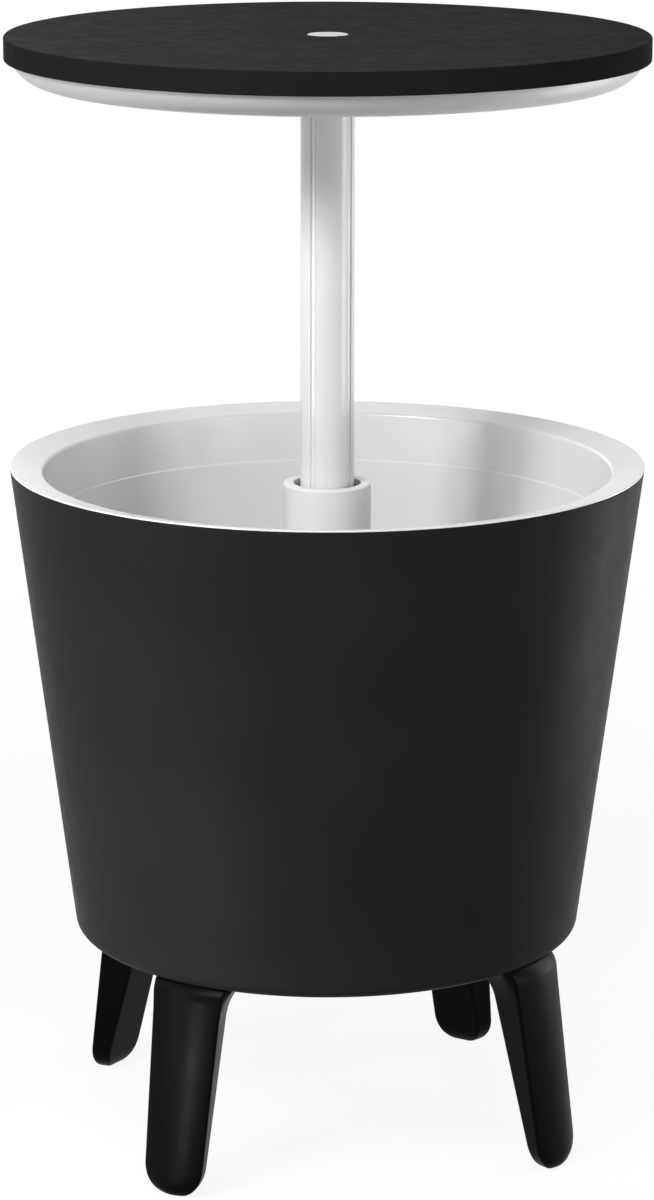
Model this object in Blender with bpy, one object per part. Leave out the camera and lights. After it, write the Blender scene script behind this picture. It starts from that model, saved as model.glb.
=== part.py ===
"""Cooler table: a round drinks cooler on four legs, whose lid rises on a pole to become a table.

Metres, +Z up, -Y to the front. The origin is on the floor, under the middle of the table.
The table is modelled raised and free to slide. A turn of TURN_TO_LOCK sets the lugs on the
pole's foot over the ribs in the column, which then hold it up.
"""
import math

import bmesh
import bpy
from mathutils import Matrix, Vector

# Clearances
SEAT = 0.0003                # between two pieces that rest on or in each other
SLIDE = 0.0004               # round the pole, its keys and the turning sleeve
LUG_GAP = 0.0008             # between the lugs and the column's bore
CLOSED_GAP = 0.0005          # between the lowered lid and the rim
TURN_GAP = 0.0010            # between the lugs and the ends of the ribs
JOIN = 0.0010                # how deep the shapes of one solid run into each other
CUT = 0.0020                 # how far a hole's cutter runs past the wall

# Body
BODY_TOP = 0.5372            # top edge of the outer shell above the floor
BODY_BOTTOM = 0.1633         # flat bottom of the outer shell above the floor
BODY_DRAFT = math.radians(7.38)
SHELL_WALL = 0.0030
SHELL_CORNER = 0.0101
SHELL_COLLAR = 0.0120
BOSS_HEIGHT = 0.0150

# Table top and the dish below it
TOP_RADIUS = 0.2475          # also the radius of the body's rim
TOP_PLATE = 0.0032
TOP_RIM_HEIGHT = 0.0177
TOP_RIM_WALL = 0.0046
TOP_EDGE_ROUND = 0.0012
TOP_RIM_ROUND = 0.0008
TOP_BOSS_RADIUS = 0.0045
TOP_RIB_WALL = 0.0022
TOP_RIB_DEPTH = 0.0100
TOP_RIB_GAP = 0.0040         # at both ends of a rib
UNDER_DEPTH = 0.0176         # dish below the black rim
UNDER_INSET = 0.0210         # how far its flat bottom lies inside its top edge
UNDER_BULGE = 0.0305         # radius of its rounded side
UNDER_WALL = 0.0028
UNDER_TUCK = 0.0080          # height of the dish inside the black rim
SOCKET_WALL = 0.0055
SOCKET_DROP = 0.0060         # below the dish, and above its floor
LID_SCREWS = 6
LID_SCREW_IN = 0.0200        # from the edge of the dish's flat bottom
LID_SCREW_BITE = 0.0130
CAP_RADIUS = 0.01575
CAP_HEIGHT = 0.0020
CAP_ROOF = 0.0012
CAP_SKIRT = 0.0025
CAP_ROUND = 0.0004
CAP_NOTCH = 0.0030
CAP_NOTCH_DEPTH = 0.0006
CAP_NOTCH_ANGLE = math.radians(-60)
CAP_SCREW_ROOM = 0.0006      # round the head of the screw below it

# Pole
POLE_RADIUS = 0.0210
POLE_WALL = 0.0025
KEYWAY_WIDTH = 0.0040
KEYWAY_DEPTH = 0.0012
KEY_COUNT = 4
PIN_RADIUS = 0.0015
PIN_SET_IN = 0.0060          # from the inner end of the head's and the foot's plug
HEAD_PLUG = 0.0240
HEAD_FLANGE = 0.0026
HEAD_SCREW_BITE = 0.0110
FOOT_PLUG = 0.0180
FOOT_WALL = 0.0072

# Column and the sleeve that turns in it
COLUMN_SINK = 0.0147         # column's mouth below the top of the shell
COLUMN_WALL = 0.0043
COLUMN_MOUTH_GAP = 0.0053    # round the pole
COLUMN_LIP = 0.0060
COLUMN_CHAMFER = 0.0012
COLUMN_MOUTH_CHAMFER = 0.0006
COLUMN_FLOOR = 0.0030
COLUMN_WEEP = 0.0040
COLUMN_FLANGE = 0.0215       # width of the flange on the liner's floor
COLUMN_FLANGE_THICK = 0.0040
COLUMN_FILLET = 0.0040
COLUMN_SCREWS = 4
COLUMN_SCREW_IN = 0.0090     # from the edge of the flange
SLEEVE_WALL = 0.0082
SLEEVE_LENGTH = 0.0342
SLEEVE_CHAMFER = 0.0006
RING_HEIGHT = 0.0020
RING_GRIP = 0.0010           # how far the retaining ring sits in its groove
RING_SLOT = 0.0060
LUG_HEIGHT = 0.0080
LUG_HALF_ANGLE = math.radians(20)
RIB_HALF_ANGLE = math.radians(18)
RIB_GAP = 0.0025             # between the ribs and the pole
RIB_ROOT = 0.0020            # how deep a rib runs into the column's wall
TURN_TO_LOCK = math.radians(45)
FOOT_FLOOR_GAP = 0.0025      # below the foot with the lid down

# Inner liner
RIM_WIDTH = 0.0255
RIM_LIP = 0.0015
RIM_LIP_ROUND = 0.0006
RIM_DROP = 0.0050
RIM_ROUND = 0.0030
RIM_PLATE = 0.0025
RIM_SKIRT = 0.0120
RIM_SKIRT_WALL = 0.0022
LINER_WALL = 0.0030
LINER_LIFT = 0.0350          # liner's floor above the bottom of the shell
LINER_CORNER = 0.0180
STEP_DEPTH = 0.0385
STEP_WIDTH = 0.0010
STANDOFF_RADIUS = 0.0060
STANDOFF_GAP = 0.0180        # from the middle of a stand-off to the leg's plate
STANDOFF_SCREW_BITE = 0.0140

# Legs. Their faces are given at the floor, and how they change for each metre up.
LEG_ANGLES = {"front_left": 225, "front_right": 315, "back_right": 45, "back_left": 135}
LEG_SET_IN = 0.0019          # outer face inside the body's bottom edge
LEG_SLOPE = 0.1500
LEG_HALF_WIDTH = 0.0263
LEG_WIDENING = 0.0356
LEG_DEPTH = 0.0119
LEG_DEEPENING = 0.1345
LEG_NARROWING = 0.0042       # the inner face is this much narrower, each side
LEG_NARROWING_UP = 0.0631
LEG_CROWN = 0.0032
LEG_INNER_ROUND = 0.0030
LEG_FOOT_HALF_WIDTH = 0.0056
LEG_FOOT_THICK = 0.0046
LEG_END_ROUND = 0.0219       # height of the foot's round end, seen from outside
LEG_EDGE_ROUND = 0.0080      # height of the foot's round edge, seen from the side
LEG_SHOULDER = 0.0164        # radius of the shoulder that meets the body
LEG_SHOULDER_DROP = 0.0105   # where the shoulder starts, below the body
LEG_FLARE = 0.0130
LEG_FLARE_HEIGHT = 0.0220
PLATE_LENGTH = 0.0720        # from the outer face inwards
PLATE_HALF_WIDTH = 0.0250
PLATE_THICK = 0.0040
PLATE_ROUND = 0.0090
PLATE_SCREW_IN = 0.0090
PLATE_SCREW_APART = 0.0150   # each screw from the middle of the leg

# Screws
SCREW_RADIUS = 0.0018
SCREW_HEAD = 0.0038
SCREW_HEAD_TOP = 0.0027
SCREW_HEAD_HEIGHT = 0.0022
SCREW_TIP = 0.0015
BOSS_WALL = 0.0030
BOSS_CLOSED = 0.0012         # what a blind hole leaves of its boss
HOLE_SPARE = 0.0012          # a blind hole beyond its screw's tip

# Drain, at the back of the liner's floor
DRAIN_GAP = 0.0300           # between its flange and the column's
DRAIN_TUBE = 0.0120
DRAIN_WALL = 0.0025
DRAIN_FLANGE = 0.0070
DRAIN_FLANGE_THICK = 0.0016
DRAIN_FLANGE_CHAMFER = 0.0008
DRAIN_NUT = 0.0058           # beyond the tube, to the nut's corners
DRAIN_NUT_HEIGHT = 0.0050
DRAIN_TAIL = 0.0100          # fitting below its nut
GASKET = 0.0010
PLUG_STEM = 0.0140
PLUG_LIP = 0.0020            # flange beyond the tube
PLUG_FLANGE_THICK = 0.0030
GRIP_WIDTH = 0.0180
GRIP_THICK = 0.0036
GRIP_HEIGHT = 0.0110
SEAL_HEIGHT = 0.0024
SEAL_DEPTH = 0.0012
SEAL_PROUD = 0.00015
SEAL_SET_IN = 0.0024         # below the top of the stem

# How finely round shapes are drawn
ROUND_LARGE = 48
ROUND_SMALL = 24
ROUND_TINY = 10
ARC_STEPS = 3
FINE_STEPS = 2
BULGE_STEPS = 5
CROWN_STEPS = 6
FOOT_STEPS = 5
FLARE_STEPS = 4

# Radii that follow from the ones above
taper = math.tan(BODY_DRAFT)
body_bottom_radius = TOP_RADIUS - taper * (BODY_TOP - BODY_BOTTOM)
shell_across = SHELL_WALL / math.cos(BODY_DRAFT)
mouth_radius = TOP_RADIUS - RIM_WIDTH
under_radius = TOP_RADIUS - TOP_RIM_WALL - SEAT
under_bottom_radius = under_radius - UNDER_INSET
pole_bore = POLE_RADIUS - POLE_WALL
plug_radius = pole_bore - SEAT
keyway_floor = POLE_RADIUS - KEYWAY_DEPTH
sleeve_radius = POLE_RADIUS + SLIDE + SLEEVE_WALL
column_bore = sleeve_radius + SLIDE
column_radius = column_bore + COLUMN_WALL
column_hole = column_radius + SLIDE
column_flange = column_radius + COLUMN_FLANGE
pilot = SCREW_RADIUS + SEAT
boss_radius = pilot + BOSS_WALL
screw_room = SCREW_HEAD + CAP_SCREW_ROOM
cap_pocket = CAP_RADIUS + SEAT
top_boss = cap_pocket + TOP_PLATE

# Heights of the body
shell_floor = BODY_BOTTOM + SHELL_WALL
boss_top = shell_floor + BOSS_HEIGHT
rim_base = BODY_TOP + SEAT
rim_top = rim_base + RIM_LIP
mouth_height = rim_top - RIM_DROP
liner_floor = BODY_BOTTOM + LINER_LIFT
liner_under = liner_floor - LINER_WALL
gasket_bottom = liner_floor + SEAT
flange_bottom = gasket_bottom + GASKET + SEAT
flange_top = flange_bottom + COLUMN_FLANGE_THICK
plate_top = BODY_BOTTOM - SEAT
plate_bottom = plate_top - PLATE_THICK

# Heights in the column, from its mouth down to the foot of the raised pole
column_top = BODY_TOP - COLUMN_SINK
lip_bottom = column_top - COLUMN_LIP
sleeve_top = lip_bottom - SEAT
sleeve_bottom = sleeve_top - SLEEVE_LENGTH
ring_top = sleeve_bottom - SEAT
ring_bottom = ring_top - RING_HEIGHT
lug_top = ring_bottom - SLIDE
lug_bottom = lug_top - LUG_HEIGHT
pole_bottom = lug_top + SEAT
column_bottom = BODY_BOTTOM
column_floor = column_bottom + COLUMN_FLOOR
travel = lug_bottom - FOOT_FLOOR_GAP - column_floor
rib_top = lug_bottom - TURN_GAP
rib_bottom = lug_top - travel + TURN_GAP

# Places of the screws and of the drain
leg_top_reach = body_bottom_radius - LEG_SET_IN
leg_reach = leg_top_reach + LEG_SLOPE * BODY_BOTTOM
plate_reach = leg_top_reach - PLATE_LENGTH
drain_at = column_flange + DRAIN_GAP + DRAIN_TUBE + DRAIN_FLANGE


def around(radius, angle):
    return radius * math.cos(angle), radius * math.sin(angle)


def ring_of(count, radius, first=0.0):
    """(x, y) places spaced evenly round the axis."""
    return [around(radius, first + math.tau * index / count) for index in range(count)]


def turned_by(place, angle):
    """An (x, y) place turned round the axis."""
    return tuple(Matrix.Rotation(angle, 2) @ Vector(place))


leg_spins = {name: math.radians(angle) for name, angle in LEG_ANGLES.items()}
plate_screws = [(plate_reach + PLATE_SCREW_IN, side * PLATE_SCREW_APART) for side in (-1, 1)]
leg_screws = [turned_by(place, spin) for spin in leg_spins.values() for place in plate_screws]
standoffs = [turned_by((plate_reach - STANDOFF_GAP, 0.0), spin) for spin in leg_spins.values()]
column_screws = ring_of(COLUMN_SCREWS, column_flange - COLUMN_SCREW_IN)
lid_pitch = math.tau / LID_SCREWS
lid_screws = ring_of(LID_SCREWS, under_bottom_radius - LID_SCREW_IN, lid_pitch / 2)


def rounded(corners, steps=ARC_STEPS):
    """The outline through (r, z) or (r, z, radius) corners, with an arc where there is a radius."""
    points = []
    for index, corner in enumerate(corners):
        here = Vector(corner[:2])
        radius = corner[2] if len(corner) > 2 else 0
        if not radius:
            points.append(here)
            continue
        to_last = (Vector(corners[index - 1][:2]) - here).normalized()
        to_next = (Vector(corners[(index + 1) % len(corners)][:2]) - here).normalized()
        half = to_last.angle(to_next) / 2
        reach = radius / math.tan(half)
        centre = here + (to_last + to_next).normalized() * radius / math.sin(half)
        start = here + to_last * reach - centre
        end = here + to_next * reach - centre
        first = math.atan2(start.y, start.x)
        turn = (math.atan2(end.y, end.x) - first + math.pi) % math.tau - math.pi
        for step in range(steps + 1):
            points.append(centre + Vector(around(radius, first + turn * step / steps)))
    return points


def bulging(start, end, radius):
    """The way from start to end along an arc of this radius that bulges to its left."""
    start, end = Vector(start), Vector(end)
    along = end - start
    side = Vector((-along.y, along.x)).normalized()
    centre = (start + end) / 2 - side * math.sqrt(radius ** 2 - along.length_squared / 4)
    first = math.atan2(start.y - centre.y, start.x - centre.x)
    last = math.atan2(end.y - centre.y, end.x - centre.x)
    angles = [first + (last - first) * step / BULGE_STEPS for step in range(BULGE_STEPS + 1)]
    return [centre + Vector(around(radius, angle)) for angle in angles]


def height_at(line, radius):
    """Height of a line of (r, z) points at this radius, or None beyond its ends."""
    for first, last in zip(line, line[1:]):
        low, high = sorted((first[0], last[0]))
        if low <= radius <= high and high > low:
            share = (radius - first[0]) / (last[0] - first[0])
            return first[1] + (last[1] - first[1]) * share
    return None


def resting_height(upper, lower):
    """How high the upper line's zero comes to lie when it rests on the lower line."""
    heights = []
    for point in list(upper) + list(lower):
        above, below = height_at(upper, point[0]), height_at(lower, point[0])
        if above is not None and below is not None:
            heights.append(below - above)
    return max(heights)


# The lid comes down until the dish's rounded side meets the rim. These corners run up the
# well and over the rim, and the dish's side is measured down from the table top.
well_corners = [
    (mouth_radius - STEP_DEPTH * taper, mouth_height - STEP_DEPTH),
    (mouth_radius, mouth_height, RIM_ROUND),
    (TOP_RADIUS, rim_top, RIM_LIP_ROUND),
    (TOP_RADIUS, rim_base),
]
dish_side = bulging(
    (under_radius, -TOP_RIM_HEIGHT),
    (under_bottom_radius, -TOP_RIM_HEIGHT - UNDER_DEPTH),
    UNDER_BULGE,
)
closed_height = resting_height(dish_side, rounded(well_corners)) + CLOSED_GAP
table_height = closed_height + travel

# Heights of the raised table
top_rim_bottom = table_height - TOP_RIM_HEIGHT
top_plate_under = table_height - TOP_PLATE
under_bottom = top_rim_bottom - UNDER_DEPTH
under_floor = under_bottom + UNDER_WALL
cap_floor = table_height - CAP_HEIGHT - SEAT
screw_seat = cap_floor - SCREW_HEAD_HEIGHT - SEAT
pocket_under = screw_seat - TOP_PLATE
head_top = pocket_under - SEAT
pole_top = head_top - HEAD_FLANGE - SEAT
head_bottom = pole_top - HEAD_PLUG
foot_top = pole_bottom + FOOT_PLUG


def clear_scene():
    for thing in list(bpy.data.objects):
        bpy.data.objects.remove(thing, do_unlink=True)


def finish(name, colour, roughness, metallic=0.0):
    """A plain material."""
    made = bpy.data.materials.new(name)
    made.use_nodes = True
    shader = made.node_tree.nodes["Principled BSDF"]
    shader.inputs["Base Color"].default_value = (*colour, 1.0)
    shader.inputs["Roughness"].default_value = roughness
    shader.inputs["Metallic"].default_value = metallic
    return made


def axis_at(name, spot):
    """An empty on the axis along which its pieces move."""
    empty = bpy.data.objects.new(name, None)
    bpy.context.scene.collection.objects.link(empty)
    empty.location = spot
    return empty


def place(name, shape, material=None, spin=0.0, at=(0, 0, 0), flip=False, parent=None):
    """An object made from a bmesh. One without a material is cut away from another, or joined to it."""
    bmesh.ops.recalc_face_normals(shape, faces=shape.faces)
    mesh = bpy.data.meshes.new(name)
    shape.to_mesh(mesh)
    shape.free()
    thing = bpy.data.objects.new(name, mesh)
    bpy.context.scene.collection.objects.link(thing)
    thing.parent = parent
    thing.location = at
    thing.rotation_euler = (math.pi if flip else 0.0, 0.0, spin)
    if material is None:
        thing.hide_render = True
        thing.display_type = "WIRE"
    else:
        mesh.materials.append(material)
        mesh.shade_smooth()
        mesh.set_sharp_from_angle(angle=math.radians(35))
    return thing


def combine(target, other, operation):
    """Joins another shape to an object, or cuts it away."""
    step = target.modifiers.new(f"{operation.lower()} {other.name}", "BOOLEAN")
    step.operation = operation
    step.solver = "EXACT"
    step.object = other


def turned(outline, sides, closed=True):
    """The outline of (r, z) points spun round the Z axis. An open one starts and ends on the axis."""
    shape = bmesh.new()
    line = [shape.verts.new((r, 0, z)) for r, z in outline]
    pairs = list(zip(line, line[1:]))
    if closed:
        pairs.append((line[-1], line[0]))
    edges = [shape.edges.new(pair) for pair in pairs]
    bmesh.ops.spin(
        shape,
        geom=line + edges,
        cent=(0, 0, 0),
        axis=(0, 0, 1),
        angle=math.tau,
        steps=sides,
        use_merge=True,
    )
    bmesh.ops.remove_doubles(shape, verts=shape.verts, dist=1e-6)
    return shape


def prism(outline, low, high, shape=None):
    """The (x, y) outline as a solid between two heights, added to a shape or in a new one."""
    shape = shape or bmesh.new()
    bottom = [shape.verts.new((x, y, low)) for x, y in outline]
    top = [shape.verts.new((x, y, high)) for x, y in outline]
    shape.faces.new(bottom[::-1])
    shape.faces.new(top)
    for index in range(len(outline)):
        after = (index + 1) % len(outline)
        shape.faces.new((bottom[index], bottom[after], top[after], top[index]))
    return shape


def rod(radius, sides, low, high, centre=(0, 0), shape=None):
    """An upright cylinder."""
    outline = [(centre[0] + x, centre[1] + y) for x, y in ring_of(sides, radius)]
    return prism(outline, low, high, shape)


def rods(places, radius, low, high, shape=None):
    """Slim upright cylinders at these (x, y) places, in one shape."""
    shape = shape or bmesh.new()
    for centre in places:
        rod(radius, ROUND_TINY, low, high, centre, shape)
    return shape


def ring(inner, outer, low, high):
    return turned([(outer, high), (outer, low), (inner, low), (inner, high)], ROUND_SMALL)


def arc(radius, middle, half_angle, steps):
    return [around(radius, middle + half_angle * (2 * step / steps - 1)) for step in range(steps + 1)]


def keyed(radius, key_floor, key_width):
    """A circle with a square dent on each diagonal, for the keys and their keyways."""
    points = []
    pitch = math.tau / KEY_COUNT
    edge = math.asin(key_width / 2 / radius)
    floor_edge = math.asin(key_width / 2 / key_floor)
    steps = ROUND_SMALL // KEY_COUNT
    for key in range(KEY_COUNT):
        middle = pitch * (key + 0.5)
        points += arc(key_floor, middle, floor_edge, 1)
        points += arc(radius, middle + pitch / 2, pitch / 2 - edge, steps)
    return points


def screws(name, places, seat, length, material, head_up=False, parent=None):
    """Pan head screws whose heads bear on the height seat."""
    outline = [
        (0, -SCREW_HEAD_HEIGHT),
        (SCREW_HEAD_TOP, -SCREW_HEAD_HEIGHT),
        (SCREW_HEAD, 0),
        (SCREW_RADIUS, 0),
        (SCREW_RADIUS, length - SCREW_TIP),
        (0, length),
    ]
    bearing = seat + SEAT if head_up else seat - SEAT
    for number, (x, y) in enumerate(places, 1):
        label = f"{name}_{number}" if len(places) > 1 else name
        shape = turned(outline, ROUND_TINY, closed=False)
        place(label, shape, material, at=(x, y, bearing), flip=head_up, parent=parent)


def cone_radius(radius, top, height):
    """Radius of a wall with the body's draft, which has the given radius at its top."""
    return radius - taper * (top - height)


def build_shell(material):
    inner_top = TOP_RADIUS - shell_across
    outline = rounded(
        [
            (0, shell_floor),
            (cone_radius(inner_top, BODY_TOP, shell_floor), shell_floor, SHELL_CORNER - SHELL_WALL),
            (inner_top, BODY_TOP),
            (TOP_RADIUS, BODY_TOP),
            (body_bottom_radius, BODY_BOTTOM, SHELL_CORNER),
            (0, BODY_BOTTOM),
        ]
    )
    shell = place("outer_shell", turned(outline, ROUND_LARGE, closed=False), material)
    collar_top = shell_floor + SHELL_COLLAR
    solid = rod(column_hole + SHELL_WALL, ROUND_SMALL, shell_floor - JOIN, collar_top)
    rods(leg_screws, boss_radius, shell_floor - JOIN, boss_top, solid)
    combine(shell, place("shell bosses", solid), "UNION")
    low, high = BODY_BOTTOM - CUT, shell_floor + CUT
    holes = rod(column_hole, ROUND_SMALL, low, collar_top + CUT)
    rod(DRAIN_TUBE + SEAT, ROUND_SMALL, low, high, (0, drain_at), holes)
    rods(standoffs, pilot, low, high, holes)
    rods(leg_screws, pilot, low, boss_top - BOSS_CLOSED, holes)
    combine(shell, place("shell holes", holes), "DIFFERENCE")


def build_liner(material):
    skirt_bottom = rim_base - RIM_SKIRT
    skirt = cone_radius(TOP_RADIUS - shell_across, BODY_TOP, skirt_bottom) - SEAT
    skirt_inner = skirt - RIM_SKIRT_WALL
    wall_top = mouth_radius + LINER_WALL
    ledge_radius, ledge = well_corners[0]
    floor_radius = cone_radius(ledge_radius, ledge, liner_floor) - STEP_WIDTH
    slope = RIM_DROP / RIM_WIDTH
    plate_under = mouth_height - RIM_PLATE
    outline = rounded(
        [
            (0, liner_floor),
            (floor_radius, liner_floor, LINER_CORNER),
            (ledge_radius - STEP_WIDTH, ledge - STEP_WIDTH),
            *well_corners,
            (skirt, rim_base),
            (skirt, skirt_bottom),
            (skirt_inner, skirt_bottom),
            (skirt_inner, plate_under + slope * (skirt_inner - mouth_radius)),
            (wall_top, plate_under + slope * LINER_WALL),
            (floor_radius + LINER_WALL, liner_under, LINER_CORNER + LINER_WALL),
            (0, liner_under),
        ]
    )
    liner = place("inner_liner", turned(outline, ROUND_LARGE, closed=False), material)
    solid = rods(standoffs, STANDOFF_RADIUS, shell_floor + SEAT, liner_under + JOIN)
    rods(column_screws, boss_radius, liner_under - BOSS_HEIGHT, liner_under + JOIN, solid)
    combine(liner, place("liner bosses", solid), "UNION")
    high = liner_floor + CUT
    holes = rod(column_hole, ROUND_SMALL, liner_under - CUT, high)
    rod(DRAIN_TUBE + SEAT, ROUND_SMALL, liner_under - CUT, high, (0, drain_at), holes)
    rods(standoffs, pilot, shell_floor, shell_floor + STANDOFF_SCREW_BITE + HOLE_SPARE, holes)
    rods(column_screws, pilot, liner_under - BOSS_HEIGHT + BOSS_CLOSED, high, holes)
    combine(liner, place("liner holes", holes), "DIFFERENCE")


def eased(low, high, share):
    """From low to high along a quarter of an ellipse, steep at first."""
    return low + (high - low) * math.sqrt(1 - (1 - min(share, 1.0)) ** 2)


def late(size, share):
    """From nothing to size along a quarter of an ellipse, steep at last."""
    return size - eased(0.0, size, 1 - min(max(share, 0.0), 1.0))


def leg_section(height):
    """The leg's outline at this height, seen from above, with +X outwards."""
    half = eased(LEG_FOOT_HALF_WIDTH, LEG_HALF_WIDTH + LEG_WIDENING * height, height / LEG_END_ROUND)
    depth = LEG_DEPTH + LEG_DEEPENING * height
    thick = eased(LEG_FOOT_THICK, depth + LEG_CROWN, height / LEG_EDGE_ROUND)
    narrowing = LEG_NARROWING + LEG_NARROWING_UP * height
    narrowing *= half / (LEG_HALF_WIDTH + LEG_WIDENING * height)
    middle = leg_reach - LEG_SLOPE * height - (depth + LEG_CROWN) / 2
    shoulder = late(LEG_SHOULDER, (height - BODY_BOTTOM + LEG_SHOULDER_DROP) / LEG_SHOULDER)
    flare = late(LEG_FLARE, 1 + (height - BODY_BOTTOM) / LEG_FLARE_HEIGHT)
    crown = middle + thick / 2
    share = thick / (depth + LEG_CROWN)
    points = []
    for step in range(CROWN_STEPS + 1):
        across = 2 * step / CROWN_STEPS - 1
        points.append(Vector((crown - shoulder - LEG_CROWN * share * across ** 2, across * half)))
    ridge = points[-1]
    corner = Vector((middle - thick / 2, half - narrowing))
    side = (corner - ridge).normalized()
    outward = Vector((side.y, -side.x))
    cut = LEG_INNER_ROUND * share
    before = corner - side * cut
    after = corner - Vector((0.0, cut))
    between = corner / 2 + (before + after) / 4
    flank = [
        (ridge + corner) / 2 + outward * flare / 2,
        before + outward * flare,
        between + Vector((-flare, flare)) / math.sqrt(2),
        after - Vector((flare, 0.0)),
    ]
    return points + flank + [Vector((point.x, -point.y)) for point in reversed(flank)]


def leg_shape():
    """The leg, lofted from the floor to inside the bottom of the shell."""
    steps = range(FOOT_STEPS + 1)
    heights = [LEG_END_ROUND * (1 - math.cos(math.pi / 2 * step / FOOT_STEPS)) for step in steps]
    flare_start = BODY_BOTTOM - LEG_FLARE_HEIGHT
    heights.append((heights[-1] + flare_start) / 2)
    steps = range(FLARE_STEPS + 1)
    heights += [flare_start + LEG_FLARE_HEIGHT * math.sin(math.pi / 2 * step / FLARE_STEPS) for step in steps]
    heights.append(BODY_BOTTOM + CUT)
    shape = bmesh.new()
    loops = []
    for height in heights:
        loops.append([shape.verts.new((x, y, height)) for x, y in leg_section(height)])
    for low, high in zip(loops, loops[1:]):
        for index in range(len(low)):
            after = (index + 1) % len(low)
            shape.faces.new((low[index], low[after], high[after], high[index]))
    shape.faces.new(loops[0][::-1])
    shape.faces.new(loops[-1])
    return shape


def build_legs(material):
    """Four legs. Each fits the rounded bottom of the shell, and has a plate for its two screws."""
    above = BODY_BOTTOM + SHELL_CORNER * 2
    body_outline = rounded(
        [
            (0, plate_top),
            (body_bottom_radius + SEAT, plate_top, SHELL_CORNER + SEAT),
            (cone_radius(TOP_RADIUS, BODY_TOP, above) + SEAT, above),
            (0, above),
        ]
    )
    body_room = place("leg seat", turned(body_outline, ROUND_LARGE, closed=False))
    plate_end = leg_top_reach - (LEG_DEPTH + LEG_DEEPENING * BODY_BOTTOM) / 2
    plate_outline = rounded(
        [
            (plate_reach, -PLATE_HALF_WIDTH, PLATE_ROUND),
            (plate_end, -PLATE_HALF_WIDTH),
            (plate_end, PLATE_HALF_WIDTH),
            (plate_reach, PLATE_HALF_WIDTH, PLATE_ROUND),
        ]
    )
    for name, spin in leg_spins.items():
        leg = place(f"leg_{name}", leg_shape(), material, spin=spin)
        plate = prism(plate_outline, plate_bottom, plate_top + JOIN)
        combine(leg, place(f"{name} plate", plate, spin=spin), "UNION")
        holes = rods(plate_screws, pilot, plate_bottom - CUT, plate_top + CUT)
        combine(leg, place(f"{name} holes", holes, spin=spin), "DIFFERENCE")
        combine(leg, body_room, "DIFFERENCE")


def build_column(material):
    mouth = POLE_RADIUS + COLUMN_MOUTH_GAP
    groove = column_bore + RING_GRIP + SLIDE
    outline = rounded(
        [
            (column_radius, column_bottom),
            (column_radius, flange_bottom),
            (column_flange, flange_bottom),
            (column_flange, flange_top),
            (column_radius, flange_top, COLUMN_FILLET),
            (column_radius, column_top - COLUMN_CHAMFER),
            (column_radius - COLUMN_CHAMFER, column_top),
            (mouth + COLUMN_MOUTH_CHAMFER, column_top),
            (mouth, column_top - COLUMN_MOUTH_CHAMFER),
            (mouth, lip_bottom),
            (column_bore, lip_bottom),
            (column_bore, sleeve_bottom),
            (groove, sleeve_bottom),
            (groove, ring_bottom - SEAT),
            (column_bore, ring_bottom - SEAT),
            (column_bore, column_floor),
            (COLUMN_WEEP, column_floor),
            (COLUMN_WEEP, column_bottom),
        ]
    )
    column = place("centre_column", turned(outline, ROUND_SMALL), material)
    ribs = bmesh.new()
    for rib in range(KEY_COUNT):
        middle = TURN_TO_LOCK + math.tau * rib / KEY_COUNT
        inner = arc(POLE_RADIUS + RIB_GAP, middle, RIB_HALF_ANGLE, FLARE_STEPS)
        outer = arc(column_bore + RIB_ROOT, middle, RIB_HALF_ANGLE, FLARE_STEPS)
        prism(outer + inner[::-1], rib_bottom, rib_top, ribs)
    combine(column, place("column ribs", ribs), "UNION")
    holes = rods(column_screws, pilot, flange_bottom - CUT, flange_top + CUT)
    combine(column, place("column holes", holes), "DIFFERENCE")


def build_gaskets(material, drain_axis):
    top = gasket_bottom + GASKET
    gasket = place("column_gasket", ring(column_hole, column_flange, gasket_bottom, top), material)
    holes = rods(column_screws, pilot, gasket_bottom - CUT, top + CUT)
    combine(gasket, place("gasket holes", holes), "DIFFERENCE")
    washer = ring(DRAIN_TUBE + SEAT, DRAIN_TUBE + DRAIN_FLANGE, gasket_bottom, top)
    place("drain_gasket", washer, material, parent=drain_axis)


def build_sleeve(material, ring_material, parent):
    """The keyed sleeve that turns in the column's head, and the split ring below it."""
    outline = [
        (0, sleeve_bottom),
        (sleeve_radius, sleeve_bottom),
        (sleeve_radius, sleeve_top - SLEEVE_CHAMFER),
        (sleeve_radius - SLEEVE_CHAMFER, sleeve_top),
        (0, sleeve_top),
    ]
    sleeve = place("guide_sleeve", turned(outline, ROUND_SMALL, closed=False), material, parent=parent)
    bore = keyed(POLE_RADIUS + SLIDE, keyway_floor + SLIDE, KEYWAY_WIDTH - SLIDE * 2)
    cutter = prism(bore, sleeve_bottom - CUT, sleeve_top + CUT)
    combine(sleeve, place("sleeve bore", cutter), "DIFFERENCE")
    outer_radius = column_bore + RING_GRIP
    half_angle = math.pi - RING_SLOT / 2 / outer_radius
    inner = arc(POLE_RADIUS + SLIDE * 2, 0.0, half_angle, ROUND_SMALL)
    outer = arc(outer_radius, 0.0, half_angle, ROUND_SMALL)
    place("sleeve_ring", prism(outer + inner[::-1], ring_bottom, ring_top), ring_material)


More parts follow.
